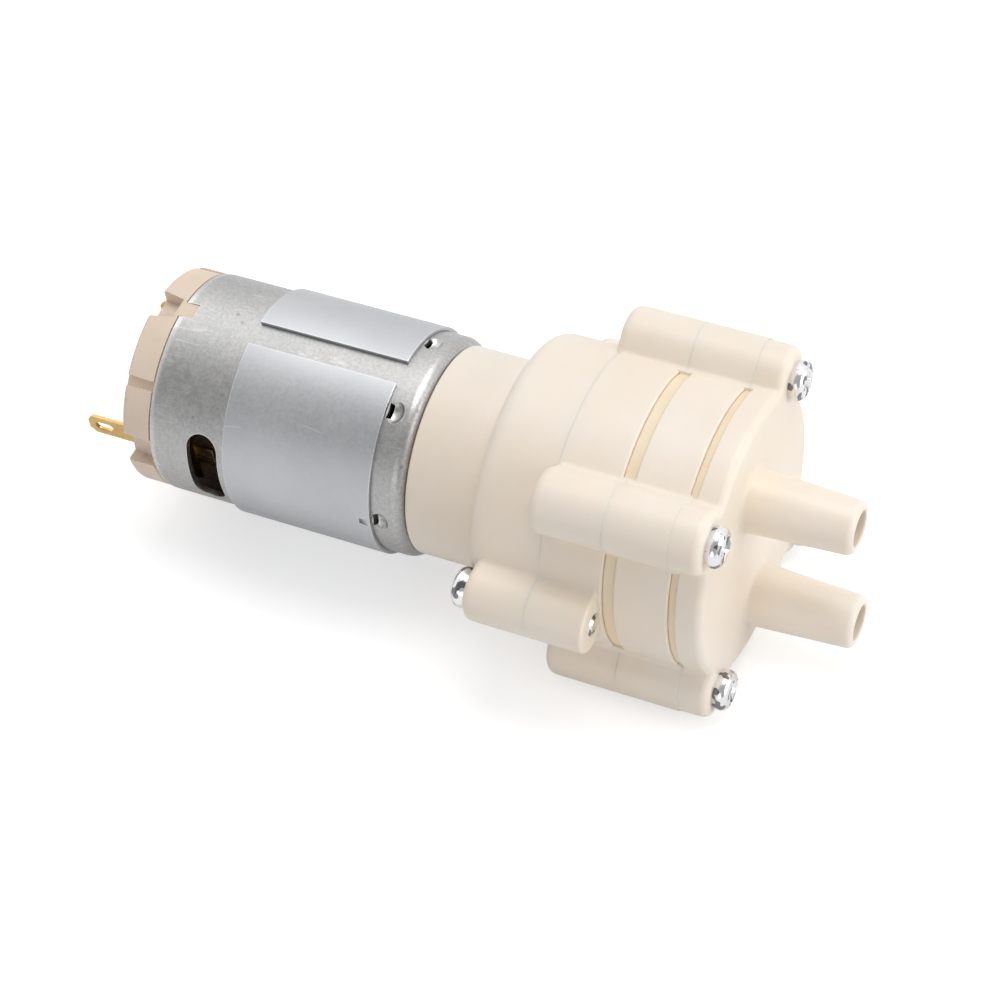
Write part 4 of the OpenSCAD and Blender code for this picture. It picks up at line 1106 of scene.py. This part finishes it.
def build_world():
    """A white room whose light is weaker on the side that the pump is seen from"""
    world = bpy.data.worlds.new("studio")
    scene.world = world
    world.use_nodes = True
    tree = world.node_tree
    tree.nodes.clear()
    in_camera = add(tree, "ShaderNodeLightPath").outputs["Is Camera Ray"]
    towards = add(tree, "ShaderNodeTexCoord").outputs["Generated"]
    values = {0: towards, 1: tuple(Vector((0.25, -0.8, 0.45)).normalized())}
    facing = add(tree, "ShaderNodeVectorMath", values, operation="DOT_PRODUCT").outputs["Value"]
    dim = ramp(tree, facing, 0.1, 0.9)
    room_light = ramp(tree, dim, 0.0, 1.0, 0.5, 0.38)
    reflected = calc(tree, "MAXIMUM", ramp(tree, dim, 0.0, 1.0, 1.0, 0.4), in_camera)
    room = add(tree, "ShaderNodeBackground", {"Color": (0.97, 0.98, 1.0, 1), "Strength": room_light})
    white = add(tree, "ShaderNodeBackground", {"Color": (1, 1, 1, 1), "Strength": reflected})
    values = {0: background_share(tree), 1: room.outputs[0], 2: white.outputs[0]}
    both = add(tree, "ShaderNodeMixShader", values)
    add(tree, "ShaderNodeOutputWorld", {"Surface": both.outputs[0]})


def build_floor():
    """A pale floor that keeps the pump's shadow and is white in the camera and in reflections"""
    reach, drop = 3.0, 0.02 * MM
    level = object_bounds()[0][2] - drop
    mesh = bpy.data.meshes.new("floor")
    corners = [(-reach, -reach, level), (reach, -reach, level), (reach, reach, level), (-reach, reach, level)]
    mesh.from_pydata(corners, [], [(0, 1, 2, 3)])
    floor = link(bpy.data.objects.new("floor", mesh))
    material = bpy.data.materials.new("floor")
    material.use_nodes = True
    tree = material.node_tree
    tree.nodes.clear()
    matt = add(tree, "ShaderNodeBsdfDiffuse", {"Color": (0.8, 0.8, 0.8, 1)})
    in_camera = add(tree, "ShaderNodeLightPath").outputs["Is Camera Ray"]
    glow_share = calc(tree, "ADD", times(tree, background_share(tree), 0.15), times(tree, in_camera, 0.35))
    glow = add(tree, "ShaderNodeEmission", {"Color": (1, 1, 1, 1), "Strength": glow_share})
    both = add(tree, "ShaderNodeAddShader", {0: matt.outputs[0], 1: glow.outputs[0]})
    add(tree, "ShaderNodeOutputMaterial", {"Surface": both.outputs[0]})
    mesh.materials.append(material)


def area_lamp(name, place, size, power):
    """A round lamp that shines on the middle of the pump"""
    lamp = bpy.data.lights.new(name, "AREA")
    lamp.shape = "DISK"
    lamp.size = size
    lamp.energy = power
    obj = link(bpy.data.objects.new(name, lamp))
    towards = Vector((0.018, 0.0, 0.0)) - Vector(place)
    obj.matrix_world = Matrix.Translation(place) @ towards.to_track_quat("-Z", "Y").to_matrix().to_4x4()


def build_lamps():
    area_lamp("key", (0.12, 0.16, 0.65), 0.5, 2.2)
    area_lamp("front_fill", (0.66, 0.02, 0.10), 0.7, 2.3)
    area_lamp("back_fill", (-0.45, 0.30, 0.40), 0.5, 0.4)
    area_lamp("side_fill", (0.05, -0.60, 0.06), 0.5, 0.55)


def build_camera():
    """The place, turn and lens that the photograph was taken with"""
    place = Vector((141.19, -213.23, 280.23)) * MM
    right = Vector((0.91125, 0.40285, -0.08563))
    up = Vector((-0.25812, 0.72064, 0.64347))
    back = Vector((0.32093, -0.56426, 0.76067))
    lens = bpy.data.cameras.new("camera")
    lens.sensor_width = 36.0
    lens.lens = 110.418
    lens.clip_start = 0.01
    lens.clip_end = 20.0
    camera = link(bpy.data.objects.new("camera", lens))
    turn = Matrix((right, up, back)).transposed().to_4x4()
    camera.matrix_world = Matrix.Translation(place) @ turn
    scene.camera = camera

build_world()
build_floor()
build_lamps()
build_camera()
